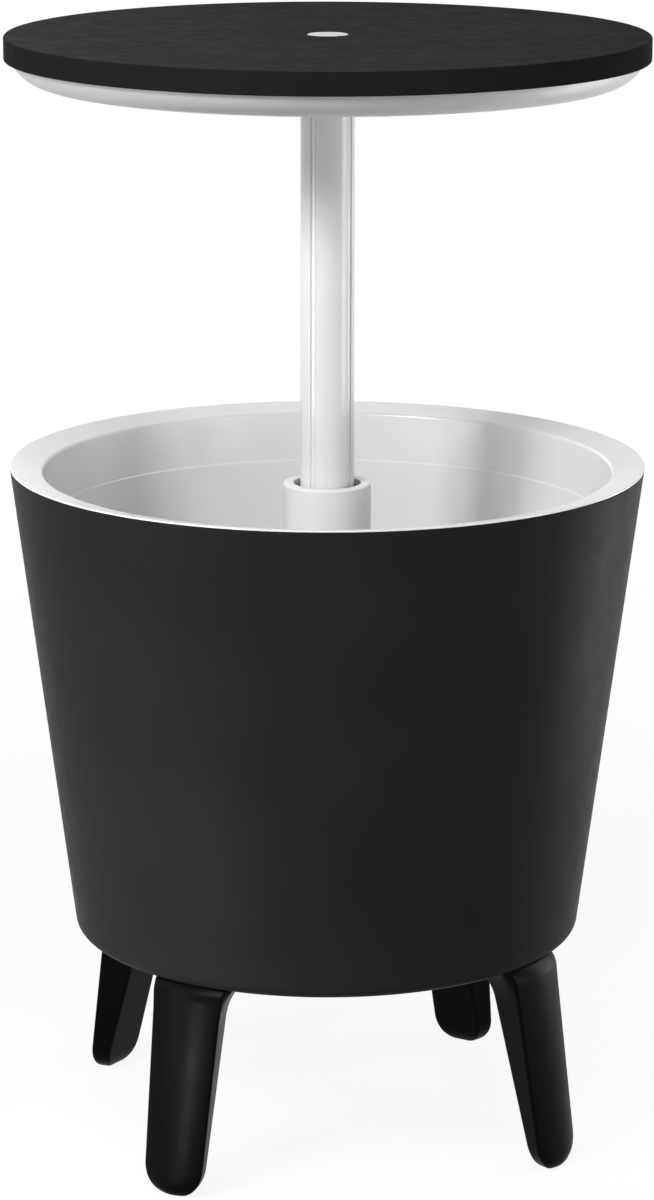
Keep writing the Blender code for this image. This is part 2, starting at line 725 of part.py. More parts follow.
def build_table_top(material, parent):
    rim_inner = TOP_RADIUS - TOP_RIM_WALL
    outline = rounded(
        [
            (0, table_height),
            (TOP_RADIUS, table_height, TOP_EDGE_ROUND),
            (TOP_RADIUS, top_rim_bottom, TOP_RIM_ROUND),
            (rim_inner, top_rim_bottom),
            (rim_inner, top_plate_under),
            (0, top_plate_under),
        ],
        steps=FINE_STEPS,
    )
    top = place("table_top", turned(outline, ROUND_LARGE, closed=False), material, parent=parent)
    root = top_plate_under + JOIN
    solid = rod(top_boss, ROUND_SMALL, pocket_under, root)
    rods(lid_screws, TOP_BOSS_RADIUS, under_floor + SEAT, root, solid)
    start = top_boss + TOP_RIB_GAP
    end = under_radius - UNDER_WALL - TOP_RIB_GAP
    half = TOP_RIB_WALL / 2
    for rib in range(LID_SCREWS):
        corners = [(start, -half), (end, -half), (end, half), (start, half)]
        outline = [turned_by(corner, lid_pitch * rib) for corner in corners]
        prism(outline, top_plate_under - TOP_RIB_DEPTH, root, solid)
    combine(top, place("top bosses", solid), "UNION")
    pocket = [
        (0, pocket_under - CUT),
        (pilot, pocket_under - CUT),
        (pilot, screw_seat),
        (screw_room, screw_seat),
        (screw_room, cap_floor),
        (cap_pocket, cap_floor),
        (cap_pocket, table_height + CUT),
        (0, table_height + CUT),
    ]
    combine(top, place("cap pocket", turned(pocket, ROUND_SMALL, closed=False)), "DIFFERENCE")
    deep = under_floor + SEAT + LID_SCREW_BITE + HOLE_SPARE
    holes = rods(lid_screws, pilot, under_floor - CUT, deep)
    combine(top, place("top holes", holes), "DIFFERENCE")


def build_underside(material, parent):
    """The pale dish, tucked inside the black rim, with a socket round the pole."""
    tuck_top = top_rim_bottom + UNDER_TUCK
    outer_side = [(r, table_height + z) for r, z in dish_side]
    inner_side = bulging(
        (under_radius - UNDER_WALL, top_rim_bottom),
        (under_bottom_radius, under_floor),
        UNDER_BULGE,
    )
    outline = [(0, under_floor), *inner_side[::-1]]
    outline += [(under_radius - UNDER_WALL, tuck_top), (under_radius, tuck_top)]
    outline += outer_side + [(0, under_bottom)]
    underside = turned(outline, ROUND_LARGE, closed=False)
    underside = place("table_underside", underside, material, parent=parent)
    low, high = under_bottom - SOCKET_DROP, under_floor + SOCKET_DROP
    bore = POLE_RADIUS + SLIDE
    socket = rod(bore + SOCKET_WALL, ROUND_SMALL, low, high)
    combine(underside, place("pole socket", socket), "UNION")
    holes = rod(bore, ROUND_SMALL, low - CUT, high + CUT)
    rods(lid_screws, pilot, under_bottom - CUT, under_floor + CUT, holes)
    combine(underside, place("underside holes", holes), "DIFFERENCE")


def cross_rod(radius, half_length):
    """A cylinder along X."""
    shape = rod(radius, ROUND_TINY, -half_length, half_length)
    turn = Matrix.Rotation(math.pi / 2, 3, "Y")
    bmesh.ops.rotate(shape, verts=shape.verts, cent=(0, 0, 0), matrix=turn)
    return shape


def build_pole(material, insert_material, metal, parent):
    outline = keyed(POLE_RADIUS, keyway_floor, KEYWAY_WIDTH)
    pole = place("pole", prism(outline, pole_bottom, pole_top), material, parent=parent)
    inside = rod(pole_bore, ROUND_SMALL, pole_bottom - CUT, pole_top + CUT)
    combine(pole, place("pole inside", inside), "DIFFERENCE")
    head_outline = [
        (plug_radius, head_bottom),
        (plug_radius, pole_top + SEAT),
        (POLE_RADIUS, pole_top + SEAT),
        (POLE_RADIUS, head_top),
        (pilot, head_top),
        (pilot, head_bottom),
    ]
    head = turned(head_outline, ROUND_SMALL)
    head = place("pole_head", head, insert_material, parent=parent)
    foot_bore = plug_radius - FOOT_WALL
    foot = ring(foot_bore, plug_radius, lug_top - JOIN, foot_top)
    foot = place("pole_foot", foot, insert_material, parent=parent)
    disc = []
    pitch = math.tau / KEY_COUNT
    between = pitch / 2 - LUG_HALF_ANGLE
    for lug in range(KEY_COUNT):
        disc += arc(column_bore - LUG_GAP, pitch * lug, LUG_HALF_ANGLE, FLARE_STEPS)
        disc += arc(POLE_RADIUS + SEAT, pitch * (lug + 0.5), between, FLARE_STEPS)
    combine(foot, place("foot lugs", prism(disc, lug_bottom, lug_top)), "UNION")
    opening = rod(foot_bore, ROUND_SMALL, lug_bottom - CUT, foot_top + CUT)
    combine(foot, place("foot bore", opening), "DIFFERENCE")
    for name, height, insert in (
        ("foot_pin", foot_top - PIN_SET_IN, foot),
        ("head_pin", head_bottom + PIN_SET_IN, head),
    ):
        spot = (0, 0, height)
        place(name, cross_rod(PIN_RADIUS, POLE_RADIUS - SEAT), metal, at=spot, parent=parent)
        hole = place(f"{name} hole", cross_rod(PIN_RADIUS + SEAT, POLE_RADIUS + CUT), at=spot)
        combine(pole, hole, "DIFFERENCE")
        combine(insert, hole, "DIFFERENCE")


def build_cap(material, parent):
    """The disc over the centre screw, hollow below, with a small pry notch in its edge."""
    roof = table_height - CAP_ROOF
    inner = CAP_RADIUS - CAP_SKIRT
    outline = rounded(
        [
            (0, table_height),
            (CAP_RADIUS, table_height, CAP_ROUND),
            (CAP_RADIUS, cap_floor + SEAT),
            (inner, cap_floor + SEAT),
            (inner, roof),
            (0, roof),
        ],
        steps=FINE_STEPS,
    )
    cap = place("top_cap", turned(outline, ROUND_SMALL, closed=False), material, parent=parent)
    centre = around(CAP_RADIUS, CAP_NOTCH_ANGLE)
    notch = rod(CAP_NOTCH, ROUND_TINY, table_height - CAP_NOTCH_DEPTH, table_height + CUT, centre)
    combine(cap, place("cap notch", notch), "DIFFERENCE")


def build_drain(material, parent):
    """The fitting through both floors, and the nut that clamps it below."""
    nut_top = BODY_BOTTOM - SEAT
    nut_bottom = nut_top - DRAIN_NUT_HEIGHT
    tail = nut_bottom - DRAIN_TAIL
    top = flange_bottom + DRAIN_FLANGE_THICK
    flange = DRAIN_TUBE + DRAIN_FLANGE
    bore = DRAIN_TUBE - DRAIN_WALL
    outline = [
        (DRAIN_TUBE, tail),
        (DRAIN_TUBE, flange_bottom),
        (flange, flange_bottom),
        (flange, top - DRAIN_FLANGE_CHAMFER),
        (flange - DRAIN_FLANGE_CHAMFER, top),
        (bore, top),
        (bore, tail),
    ]
    place("drain_fitting", turned(outline, ROUND_SMALL), material, parent=parent)
    nut = place("drain_nut", rod(DRAIN_TUBE + DRAIN_NUT, 6, nut_bottom, nut_top), material, parent=parent)
    hole = rod(DRAIN_TUBE + SEAT, ROUND_SMALL, nut_bottom - CUT, nut_top + CUT)
    combine(nut, place("nut bore", hole, parent=parent), "DIFFERENCE")
    return tail


def build_plug(material, seal_material, parent, tail):
    """The plug pushed up into the drain's tail, with a seal in a groove and a flat grip."""
    bore = DRAIN_TUBE - DRAIN_WALL
    stem = bore - SEAT
    groove = stem - SEAL_DEPTH
    stem_top = tail + PLUG_STEM
    seal_top = stem_top - SEAL_SET_IN
    seal_bottom = seal_top - SEAL_HEIGHT
    plug_top = tail - SEAT
    plug_bottom = plug_top - PLUG_FLANGE_THICK
    outline = [
        (0, stem_top),
        (groove, stem_top),
        (stem, stem_top - SEAL_DEPTH),
        (stem, seal_top + SEAT),
        (groove, seal_top + SEAT),
        (groove, seal_bottom - SEAT),
        (stem, seal_bottom - SEAT),
        (stem, plug_top),
        (DRAIN_TUBE + PLUG_LIP, plug_top),
        (DRAIN_TUBE + PLUG_LIP, plug_bottom),
        (0, plug_bottom),
    ]
    plug = place("drain_plug", turned(outline, ROUND_SMALL, closed=False), material, parent=parent)
    wide, thick = GRIP_WIDTH / 2, GRIP_THICK / 2
    corners = [(-wide, -thick), (wide, -thick), (wide, thick), (-wide, thick)]
    grip = prism(corners, plug_bottom - GRIP_HEIGHT, plug_bottom + JOIN)
    combine(plug, place("plug grip", grip, parent=parent), "UNION")
    seal = ring(groove + SEAT, stem + SEAL_PROUD, seal_bottom, seal_top)
    place("plug_seal", seal, seal_material, parent=parent)


def build_screws(material, table_axis):
    blind = BOSS_CLOSED + HOLE_SPARE + SEAT
    leg_length = PLATE_THICK + SEAT + SHELL_WALL + BOSS_HEIGHT - blind
    screws("leg_screw", leg_screws, plate_bottom, leg_length, material)
    screws("liner_screw", standoffs, BODY_BOTTOM, SHELL_WALL + STANDOFF_SCREW_BITE, material)
    column_length = flange_top - liner_under + BOSS_HEIGHT - blind
    screws("column_screw", column_screws, flange_top, column_length, material, head_up=True)
    lid_length = UNDER_WALL + SEAT + LID_SCREW_BITE
    screws("lid_screw", lid_screws, under_bottom, lid_length, material, parent=table_axis)
    head_length = TOP_PLATE + SEAT + HEAD_SCREW_BITE
    screws("centre_screw", [(0, 0)], screw_seat, head_length, material, head_up=True, parent=table_axis)


def build_all():
    clear_scene()
    table_axis = axis_at("table_axis", (0, 0, 0))
    drain_axis = axis_at("drain_axis", (0, drain_at, 0))
    black = finish("black plastic", (0.018, 0.018, 0.019), 0.55)
    leg_black = finish("leg plastic", (0.008, 0.008, 0.009), 0.35)
    white = finish("white plastic", (0.82, 0.82, 0.81), 0.38)
    grey = finish("dark grey plastic", (0.06, 0.06, 0.065), 0.5)
    pale = finish("pale grey plastic", (0.66, 0.66, 0.65), 0.4)
    rubber = finish("rubber", (0.03, 0.03, 0.03), 0.8)
    steel = finish("zinc plated steel", (0.62, 0.62, 0.64), 0.3, 1.0)
    build_shell(black)
    build_liner(white)
    build_legs(leg_black)
    build_column(white)
    build_gaskets(rubber, drain_axis)
    build_sleeve(grey, steel, table_axis)
    build_table_top(black, table_axis)
    build_underside(white, table_axis)
    build_pole(white, grey, steel, table_axis)
    build_cap(pale, table_axis)
    tail = build_drain(grey, drain_axis)
    build_plug(grey, rubber, drain_axis, tail)
    build_screws(steel, table_axis)
    print(f"table {table_height:.4f}, closed {closed_height:.4f}, travel {travel:.4f}")


build_all()
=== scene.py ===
"""Looks of the cooler table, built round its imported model. Metres, +Z up, -Y to the front."""
import math

import bmesh
import bpy
from mathutils import Matrix, Vector


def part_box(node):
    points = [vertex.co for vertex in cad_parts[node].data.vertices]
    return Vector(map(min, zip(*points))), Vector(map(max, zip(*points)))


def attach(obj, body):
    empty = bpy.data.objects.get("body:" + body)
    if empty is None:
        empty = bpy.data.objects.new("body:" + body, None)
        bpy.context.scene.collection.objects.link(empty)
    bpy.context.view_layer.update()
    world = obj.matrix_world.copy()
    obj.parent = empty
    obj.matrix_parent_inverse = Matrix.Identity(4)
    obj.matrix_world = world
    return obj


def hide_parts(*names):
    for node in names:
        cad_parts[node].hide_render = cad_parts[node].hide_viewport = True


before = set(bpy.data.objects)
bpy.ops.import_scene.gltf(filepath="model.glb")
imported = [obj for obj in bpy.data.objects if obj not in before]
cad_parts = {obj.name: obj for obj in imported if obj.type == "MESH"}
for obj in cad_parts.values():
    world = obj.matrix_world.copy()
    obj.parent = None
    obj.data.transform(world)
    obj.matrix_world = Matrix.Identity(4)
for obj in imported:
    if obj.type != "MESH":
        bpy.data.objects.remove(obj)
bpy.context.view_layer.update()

# The names are those of part.py, and so are the sizes, but for the roundings and the leg's flare

# Clearances
SEAT = 0.0003                # between two pieces that rest on or in each other
SLIDE = 0.0004               # round the pole, its keys and the turning sleeve
TURN_GAP = 0.0010            # between the lugs on the pole's foot and the ends of the ribs
JOIN = 0.0010                # how deep the shapes of one piece run into each other
CUT = 0.0020                 # how far a hole's cutter runs past the wall

# Radii of moulded edges
CRISP = 0.0002
FINE = 0.0003
PLAIN = 0.0004
SOFT = 0.0006

# Outer shell
BODY_TOP = 0.5372
BODY_BOTTOM = 0.1633
BODY_DRAFT = math.radians(7.38)
SHELL_WALL = 0.0030
SHELL_CORNER = 0.0101
SHELL_COLLAR = 0.0120
SHELL_COLLAR_FILLET = 0.0015
BOSS_WALL = 0.0030
BOSS_HEIGHT = 0.0150
BOSS_CLOSED = 0.0012         # what a blind hole leaves of its boss
HOLE_SPARE = 0.0012          # a blind hole beyond its screw's tip

# Inner liner
RIM_WIDTH = 0.0255
RIM_DROP = 0.0050
RIM_LIP = 0.0015
RIM_LIP_ROUND = 0.0007
RIM_ROUND = 0.0030
RIM_PLATE = 0.0025
RIM_FILLET = 0.0010
RIM_SKIRT = 0.0120
RIM_SKIRT_WALL = 0.0022
LINER_WALL = 0.0030
LINER_LIFT = 0.0350          # liner's floor above the bottom of the shell
LINER_CORNER = 0.0180
STEP_DEPTH = 0.0385
STEP_WIDTH = 0.0010
STEP_ROUND = 0.0005
STANDOFF_RADIUS = 0.0060
STANDOFF_SCREW_BITE = 0.0140

# Legs. Their faces are given at the floor, and how they change for each metre up.
LEG_ANGLES = {"front_left": 225, "front_right": 315, "back_right": 45, "back_left": 135}
LEG_SET_IN = 0.0019          # outer face inside the body's bottom edge
LEG_SLOPE = 0.1500
LEG_HALF_WIDTH = 0.0263
LEG_WIDENING = 0.0356
LEG_DEPTH = 0.0119
LEG_DEEPENING = 0.1345
LEG_NARROWING = 0.0042       # the inner face is this much narrower, each side
LEG_NARROWING_UP = 0.0631
LEG_CROWN = 0.0032
LEG_BULGE = 0.0022           # of the outer face, on top of its crown
LEG_RIDGE_ROUND = 0.0020
LEG_INNER_ROUND = 0.0034
LEG_FOOT_RIDGE_ROUND = 0.0001
LEG_FOOT_INNER_ROUND = 0.0002
LEG_FOOT_HALF_WIDTH = 0.0056
LEG_FOOT_THICK = 0.0046
LEG_END_ROUND = 0.0219       # height of the foot's round end, seen from outside
LEG_EDGE_ROUND = 0.0120      # height of the foot's round edge, seen from the side
LEG_SHOULDER = 0.0164        # radius of the shoulder that meets the body
LEG_SHOULDER_DROP = 0.0105   # where the shoulder starts, below the body
LEG_FLARE = 0.0175
LEG_FLARE_HEIGHT = 0.0280
LEG_FLARE_POWER = 0.4        # below one, the flank swells early
PLATE_LENGTH = 0.0720        # from the outer face inwards
PLATE_END = 0.0174           # inside the outer face
PLATE_HALF_WIDTH = 0.0250
PLATE_THICK = 0.0040
PLATE_ROUND = 0.0090
PLATE_SCREW_IN = 0.0090
PLATE_SCREW_APART = 0.0150   # each screw from the middle of the leg

# Pole
POLE_RADIUS = 0.0210
POLE_WALL = 0.0025
KEY_COUNT = 4
KEYWAY_WIDTH = 0.0040
KEYWAY_DEPTH = 0.0012
KEYWAY_ROUND = 0.0009
PIN_HOLE_REACH = 0.0300      # its cutter, each way from the axis

# Column and the sleeve that turns in it
COLUMN_WALL = 0.0043
COLUMN_MOUTH_GAP = 0.0053    # round the pole
COLUMN_LIP = 0.0060
COLUMN_CHAMFER = 0.0012
COLUMN_CHAMFER_ROUND = 0.0008
COLUMN_MOUTH_CHAMFER = 0.0006
COLUMN_FLOOR = 0.0030
COLUMN_WEEP = 0.0040
COLUMN_WEEP_ROUND = 0.0005
COLUMN_FLANGE = 0.0215
COLUMN_FLANGE_THICK = 0.0040
COLUMN_FLANGE_ROUND = 0.0014
COLUMN_FILLET = 0.0040
SLEEVE_WALL = 0.0082
RING_GRIP = 0.0010           # how far the retaining ring sits in its groove
RIB_LENGTH = 0.2876
RIB_HALF_ANGLE = math.radians(18)
RIB_GAP = 0.0025             # between the ribs and the pole
RIB_ROOT = 0.0020            # how deep a rib runs into the column's wall
TURN_TO_LOCK = math.radians(45)

# Table top, its cap and the dish below it
TOP_RADIUS = 0.2475          # also the radius of the body's rim
TOP_PLATE = 0.0032
TOP_RIM_HEIGHT = 0.0177
TOP_RIM_WALL = 0.0046
TOP_EDGE_ROUND = 0.0014
TOP_RIM_ROUND = 0.0010
TOP_RIM_FILLET = 0.0020
TOP_BOSS_FILLET = 0.0015
TOP_BOSS_ROUND = 0.0005
TOP_BOSS_RADIUS = 0.0045
TOP_RIB_WALL = 0.0022
TOP_RIB_DEPTH = 0.0100
TOP_RIB_GAP = 0.0040         # at both ends of a rib
UNDER_DEPTH = 0.0176         # dish below the black rim
UNDER_INSET = 0.0210         # how far its flat bottom lies inside its top edge
UNDER_BULGE = 0.0305         # radius of its rounded side
UNDER_WALL = 0.0028
UNDER_TUCK = 0.0080          # height of the dish inside the black rim
SOCKET_WALL = 0.0055
SOCKET_DROP = 0.0060         # below the dish, and above its floor
SOCKET_FILLET = 0.0012
SOCKET_ROUND = 0.0014
LID_SCREWS = 6
LID_SCREW_BITE = 0.0130
CAP_RADIUS = 0.01575
CAP_HEIGHT = 0.0020
CAP_ROOF = 0.0012
CAP_SKIRT = 0.0025
CAP_ROUND = 0.0005
CAP_NOTCH = 0.0030
CAP_NOTCH_DEPTH = 0.0006
CAP_NOTCH_ANGLE = math.radians(-60)
CAP_SCREW_ROOM = 0.0006      # round the head of the screw below it

# Drain
DRAIN_TUBE = 0.0120
DRAIN_WALL = 0.0025
DRAIN_BORE_ROUND = 0.0010
DRAIN_FLANGE = 0.0070
DRAIN_FLANGE_BEVEL = 0.0015
DRAIN_NUT = 0.0058           # beyond the tube, to the nut's corners
NUT_FACE = 0.0160            # radius of the round faces above and below its corners
NUT_CORNERS = 0.0190
NUT_BEVEL = 0.0014
NUT_FACE_ROUND = 0.0008
GASKET = 0.0010
PLUG_LIP = 0.0020            # flange beyond the tube
PLUG_FLANGE_THICK = 0.0030
PLUG_FLANGE_ROUND = 0.0010
PLUG_TIP_ROUND = 0.0012
GRIP_WIDTH = 0.0180
GRIP_THICK = 0.0036
GRIP_ROUND = 0.98            # of half its thickness
RIDGE_COUNT = 3
RIDGE_PITCH = 0.0025
RIDGE_WIDTH = 0.0140
RIDGE_THICK = 0.0046
RIDGE_HEIGHT = 0.0010
SEAL_DEPTH = 0.0012
SEAL_RADIUS = 0.00885
SEAL_HALF_HEIGHT = 0.0012
SEAL_FLATNESS = 0.41
SEAL_SIDES = 24

# Screws
SCREW_RADIUS = 0.0018
SCREW_HEAD = 0.0038
SCREW_HEAD_TOP = 0.0027
SCREW_HEAD_HEIGHT = 0.0022
SCREW_HEAD_ROUND = 0.0008
SCREW_TIP = 0.0015
RECESS_HALF_WIDTH = 0.00042
RECESS_ARM = 0.0019
RECESS_FLOOR = 0.0009        # above the head's bearing face
FIRST_SPIN = 0.4             # how far the first screw is turned, and each one more than the last
MORE_SPIN = 1.1

# How finely round shapes are drawn
LARGE = 256
MEDIUM = 128
SMALL = 64
TINY = 32
BULGE_STEPS = 28
KEYED_STEPS = 24
RIB_STEPS = 16
CROWN_STEPS = 12
FLANK_STEPS = 6
FOOT_STEPS = 18
LEG_STEPS = 10
FLARE_STEPS = 14
SHARP_ANGLE = math.radians(32)

# Sizes that follow from the ones above
taper = math.tan(BODY_DRAFT)
bottom_radius = TOP_RADIUS - taper * (BODY_TOP - BODY_BOTTOM)
shell_across = SHELL_WALL / math.cos(BODY_DRAFT)
shell_floor = BODY_BOTTOM + SHELL_WALL
rim_base = BODY_TOP + SEAT
rim_top = rim_base + RIM_LIP
mouth_radius = TOP_RADIUS - RIM_WIDTH
mouth_height = rim_top - RIM_DROP
liner_floor = BODY_BOTTOM + LINER_LIFT
liner_under = liner_floor - LINER_WALL
keyway_floor = POLE_RADIUS - KEYWAY_DEPTH
sleeve_radius = POLE_RADIUS + SLIDE + SLEEVE_WALL
column_bore = sleeve_radius + SLIDE
column_radius = column_bore + COLUMN_WALL
column_hole = column_radius + SLIDE
column_flange = column_radius + COLUMN_FLANGE
flange_bottom = liner_floor + SEAT + GASKET + SEAT
pilot = SCREW_RADIUS + SEAT
boss_radius = pilot + BOSS_WALL
cap_pocket = CAP_RADIUS + SEAT
under_radius = TOP_RADIUS - TOP_RIM_WALL - SEAT
drain_hole = DRAIN_TUBE + SEAT
drain_bore = DRAIN_TUBE - DRAIN_WALL
leg_top_reach = bottom_radius - LEG_SET_IN
leg_reach = leg_top_reach + LEG_SLOPE * BODY_BOTTOM


# Shapes

def around(radius, angle):
    return radius * math.cos(angle), radius * math.sin(angle)


def ring_of(count, radius):
    return [around(radius, math.tau * index / count) for index in range(count)]


def rounded(corners, steps):
    """The outline through (r, z) or (r, z, radius) corners, with an arc where there is a radius."""
    points = []
    for index, corner in enumerate(corners):
        here = Vector(corner[:2])
        radius = corner[2] if len(corner) > 2 else 0
        if not radius:
            points.append(here)
            continue
        to_last = (Vector(corners[index - 1][:2]) - here).normalized()
        to_next = (Vector(corners[(index + 1) % len(corners)][:2]) - here).normalized()
        half = to_last.angle(to_next) / 2
        reach = radius / math.tan(half)
        centre = here + (to_last + to_next).normalized() * radius / math.sin(half)
        start = here + to_last * reach - centre
        end = here + to_next * reach - centre
        first = math.atan2(start.y, start.x)
        turn = (math.atan2(end.y, end.x) - first + math.pi) % math.tau - math.pi
        for step in range(steps + 1):
            points.append(centre + Vector(around(radius, first + turn * step / steps)))
    return points


def box_outline(half_width, half_thick, radius, steps):
    """A rectangle round the axis, with rounded corners."""
    corners = [(-half_width, -half_thick), (half_width, -half_thick)]
    corners += [(half_width, half_thick), (-half_width, half_thick)]
    return rounded([(*corner, radius) for corner in corners], steps)


def bulging(start, end, radius):
    """The way from start to end along an arc of this radius that bulges to its left."""
    start, end = Vector(start), Vector(end)
    along = end - start
    side = Vector((-along.y, along.x)).normalized()
    centre = (start + end) / 2 - side * math.sqrt(radius ** 2 - along.length_squared / 4)
    first = math.atan2(start.y - centre.y, start.x - centre.x)
    last = math.atan2(end.y - centre.y, end.x - centre.x)
    angles = [first + (last - first) * step / BULGE_STEPS for step in range(BULGE_STEPS + 1)]
    return [centre + Vector(around(radius, angle)) for angle in angles]


def turned(outline, sides, closed=True):
    """The outline of (r, z) points spun round the Z axis. An open one starts and ends on the axis."""
    shape = bmesh.new()
    line = [shape.verts.new((r, 0, z)) for r, z in outline]
    pairs = list(zip(line, line[1:]))
    if closed:
        pairs.append((line[-1], line[0]))
    edges = [shape.edges.new(pair) for pair in pairs]
    bmesh.ops.spin(
        shape,
        geom=line + edges,
        cent=(0, 0, 0),
        axis=(0, 0, 1),
        angle=math.tau,
        steps=sides,
        use_merge=True,
    )
    bmesh.ops.remove_doubles(shape, verts=shape.verts, dist=1e-6)
    return shape


def wrap(shape, low, high):
    """The faces between two loops of as many vertices."""
    for index in range(len(low)):
        after = (index + 1) % len(low)
        shape.faces.new((low[index], low[after], high[after], high[index]))


def prism(outline, low, high, shape=None):
    """The (x, y) outline as a solid between two heights, added to a shape or in a new one."""
    shape = shape or bmesh.new()
    loops = [[shape.verts.new((x, y, z)) for x, y in outline] for z in (low, high)]
    shape.faces.new(loops[0][::-1])
    shape.faces.new(loops[1])
    wrap(shape, *loops)
    return shape


def rod(radius, sides, low, high, centre=(0, 0), shape=None):
    """An upright cylinder."""
    outline = [(centre[0] + x, centre[1] + y) for x, y in ring_of(sides, radius)]
    return prism(outline, low, high, shape)


def rods(places, radius, low, high, shape=None):
    """Slim upright cylinders at these (x, y) places, in one shape."""
    shape = shape or bmesh.new()
    for centre in places:
        rod(radius, SMALL, low, high, centre, shape)
    return shape


def gasket_ring(inner, outer, low, high):
    corners = [(outer, high), (outer, low), (inner, low), (inner, high)]
    return turned(rounded([(*corner, CRISP) for corner in corners], steps=3), MEDIUM)


def arc(radius, middle, half_angle, steps):
    return [around(radius, middle + half_angle * (2 * step / steps - 1)) for step in range(steps + 1)]


def keyed(radius, floor, width, edge):
    """A circle with a shallow groove on each diagonal, whose edges are rounded."""
    corners = []
    pitch = math.tau / KEY_COUNT
    half, floor_half = math.asin(width / 2 / radius), math.asin(width / 2 / floor)
    for key in range(KEY_COUNT):
        middle = pitch * (key + 0.5)
        for angle, reach in ((-floor_half, floor), (floor_half, floor), (half, radius)):
            corners.append((*around(reach, middle + angle), edge))
        span = pitch - 2 * half
        for step in range(1, KEYED_STEPS):
            corners.append(around(radius, middle + half + span * step / KEYED_STEPS))
        corners.append((*around(radius, middle + pitch - half), edge))
    return rounded(corners, steps=3)


def tube(outer, inner, low, high):
    """A wall between two outlines with as many points, between two heights."""
    shape = bmesh.new()
    loops = [
        [shape.verts.new((x, y, z)) for x, y in outline]
        for outline, z in ((outer, low), (outer, high), (inner, high), (inner, low))
    ]
    for index, loop in enumerate(loops):
        wrap(shape, loop, loops[(index + 1) % len(loops)])
    return shape


def same_angles(outline, radius):
    """A circle whose points lie at the same angles as the outline's."""
    return [around(radius, math.atan2(y, x)) for x, y in outline]


def mesh_of(name, shape):
    """The mesh of a shape that is a bmesh, or else the mesh that it is already."""
    if isinstance(shape, bpy.types.Mesh):
        return shape
    bmesh.ops.recalc_face_normals(shape, faces=shape.faces)
    mesh = bpy.data.meshes.new(name)
    shape.to_mesh(mesh)
    shape.free()
    return mesh


def thing(name, data):
    made = bpy.data.objects.new(name, data)
    bpy.context.scene.collection.objects.link(made)
    return made


def combined(shape, *steps):
    """The mesh of a shape after other shapes are joined to it or cut from it, in order."""
    base = thing("base", mesh_of("base", shape))
    others = []
    for operation, other in steps:
        other = thing("other", mesh_of("other", other))
        step = base.modifiers.new(operation, "BOOLEAN")
        step.operation = operation
        step.solver = "EXACT"
        step.object = other
        others.append(other)
    bpy.context.view_layer.update()
    mesh = bpy.data.meshes.new_from_object(base.evaluated_get(bpy.context.evaluated_depsgraph_get()))
    for made in [base, *others]:
        bpy.data.objects.remove(made)
    return mesh


# Materials

SHELL_BLACK = (0.0166, 0.0166, 0.0169)
TOP_BLACK = (0.0120, 0.0120, 0.0123)
LEG_BLACK = (0.0014, 0.0014, 0.0016)
TUB_WHITE = (0.76, 0.76, 0.75)
POLE_WHITE = (0.76, 0.76, 0.76)
DISH_WHITE = (0.50, 0.50, 0.49)
INSERT_GREY = (0.055, 0.055, 0.06)
SEAL_BLACK = (0.022, 0.022, 0.022)
ZINC = (0.60, 0.61, 0.64)
CLOUD_SCALE = 9.0            # of the faint clouds in the colour
GLOSS_SCALE = 60.0           # of the dull marks
NOISE_RANGE = (0.3, 0.7)     # the part of the noise's range that holds most of it


def material(name, colour, roughness, grain, metallic=0.0, level=0.5, marks=0.1, tint=0.06):
    """A material with fine moulded grain, faint clouds in its colour, and small dull marks.

    grain is (size in metres, depth in metres) of the surface's fine texture.
    """
    made = bpy.data.materials.new(name)
    made.use_nodes = True
    nodes, links = made.node_tree.nodes, made.node_tree.links
    shader = nodes["Principled BSDF"]
    shader.inputs["Metallic"].default_value = metallic
    shader.inputs["Specular IOR Level"].default_value = level
    spot = nodes.new("ShaderNodeTexCoord")

    def noise(scale, detail=3.0, rough=0.55):
        node = nodes.new("ShaderNodeTexNoise")
        node.inputs["Scale"].default_value = scale
        node.inputs["Detail"].default_value = detail
        node.inputs["Roughness"].default_value = rough
        links.new(spot.outputs["Object"], node.inputs["Vector"])
        return node.outputs["Fac"]

    def spread(value, low, high):
        node = nodes.new("ShaderNodeMapRange")
        node.inputs["From Min"].default_value, node.inputs["From Max"].default_value = NOISE_RANGE
        node.inputs["To Min"].default_value = low
        node.inputs["To Max"].default_value = high
        links.new(value, node.inputs["Value"])
        return node.outputs["Result"]

    clouds = nodes.new("ShaderNodeMix")
    clouds.data_type = "RGBA"
    clouds.inputs["A"].default_value = (*(part * (1 - tint) for part in colour), 1)
    clouds.inputs["B"].default_value = (*(part * (1 + tint) for part in colour), 1)
    links.new(spread(noise(CLOUD_SCALE), 0, 1), clouds.inputs["Factor"])
    links.new(clouds.outputs["Result"], shader.inputs["Base Color"])
    gloss = spread(noise(GLOSS_SCALE, detail=5.0), roughness * (1 - marks), roughness * (1 + marks))
    links.new(gloss, shader.inputs["Roughness"])
    size, depth = grain
    bump = nodes.new("ShaderNodeBump")
    bump.inputs["Strength"].default_value = 1.0
    bump.inputs["Distance"].default_value = depth
    links.new(noise(1 / size, detail=2.0, rough=0.6), bump.inputs["Height"])
    links.new(bump.outputs["Normal"], shader.inputs["Normal"])
    return made


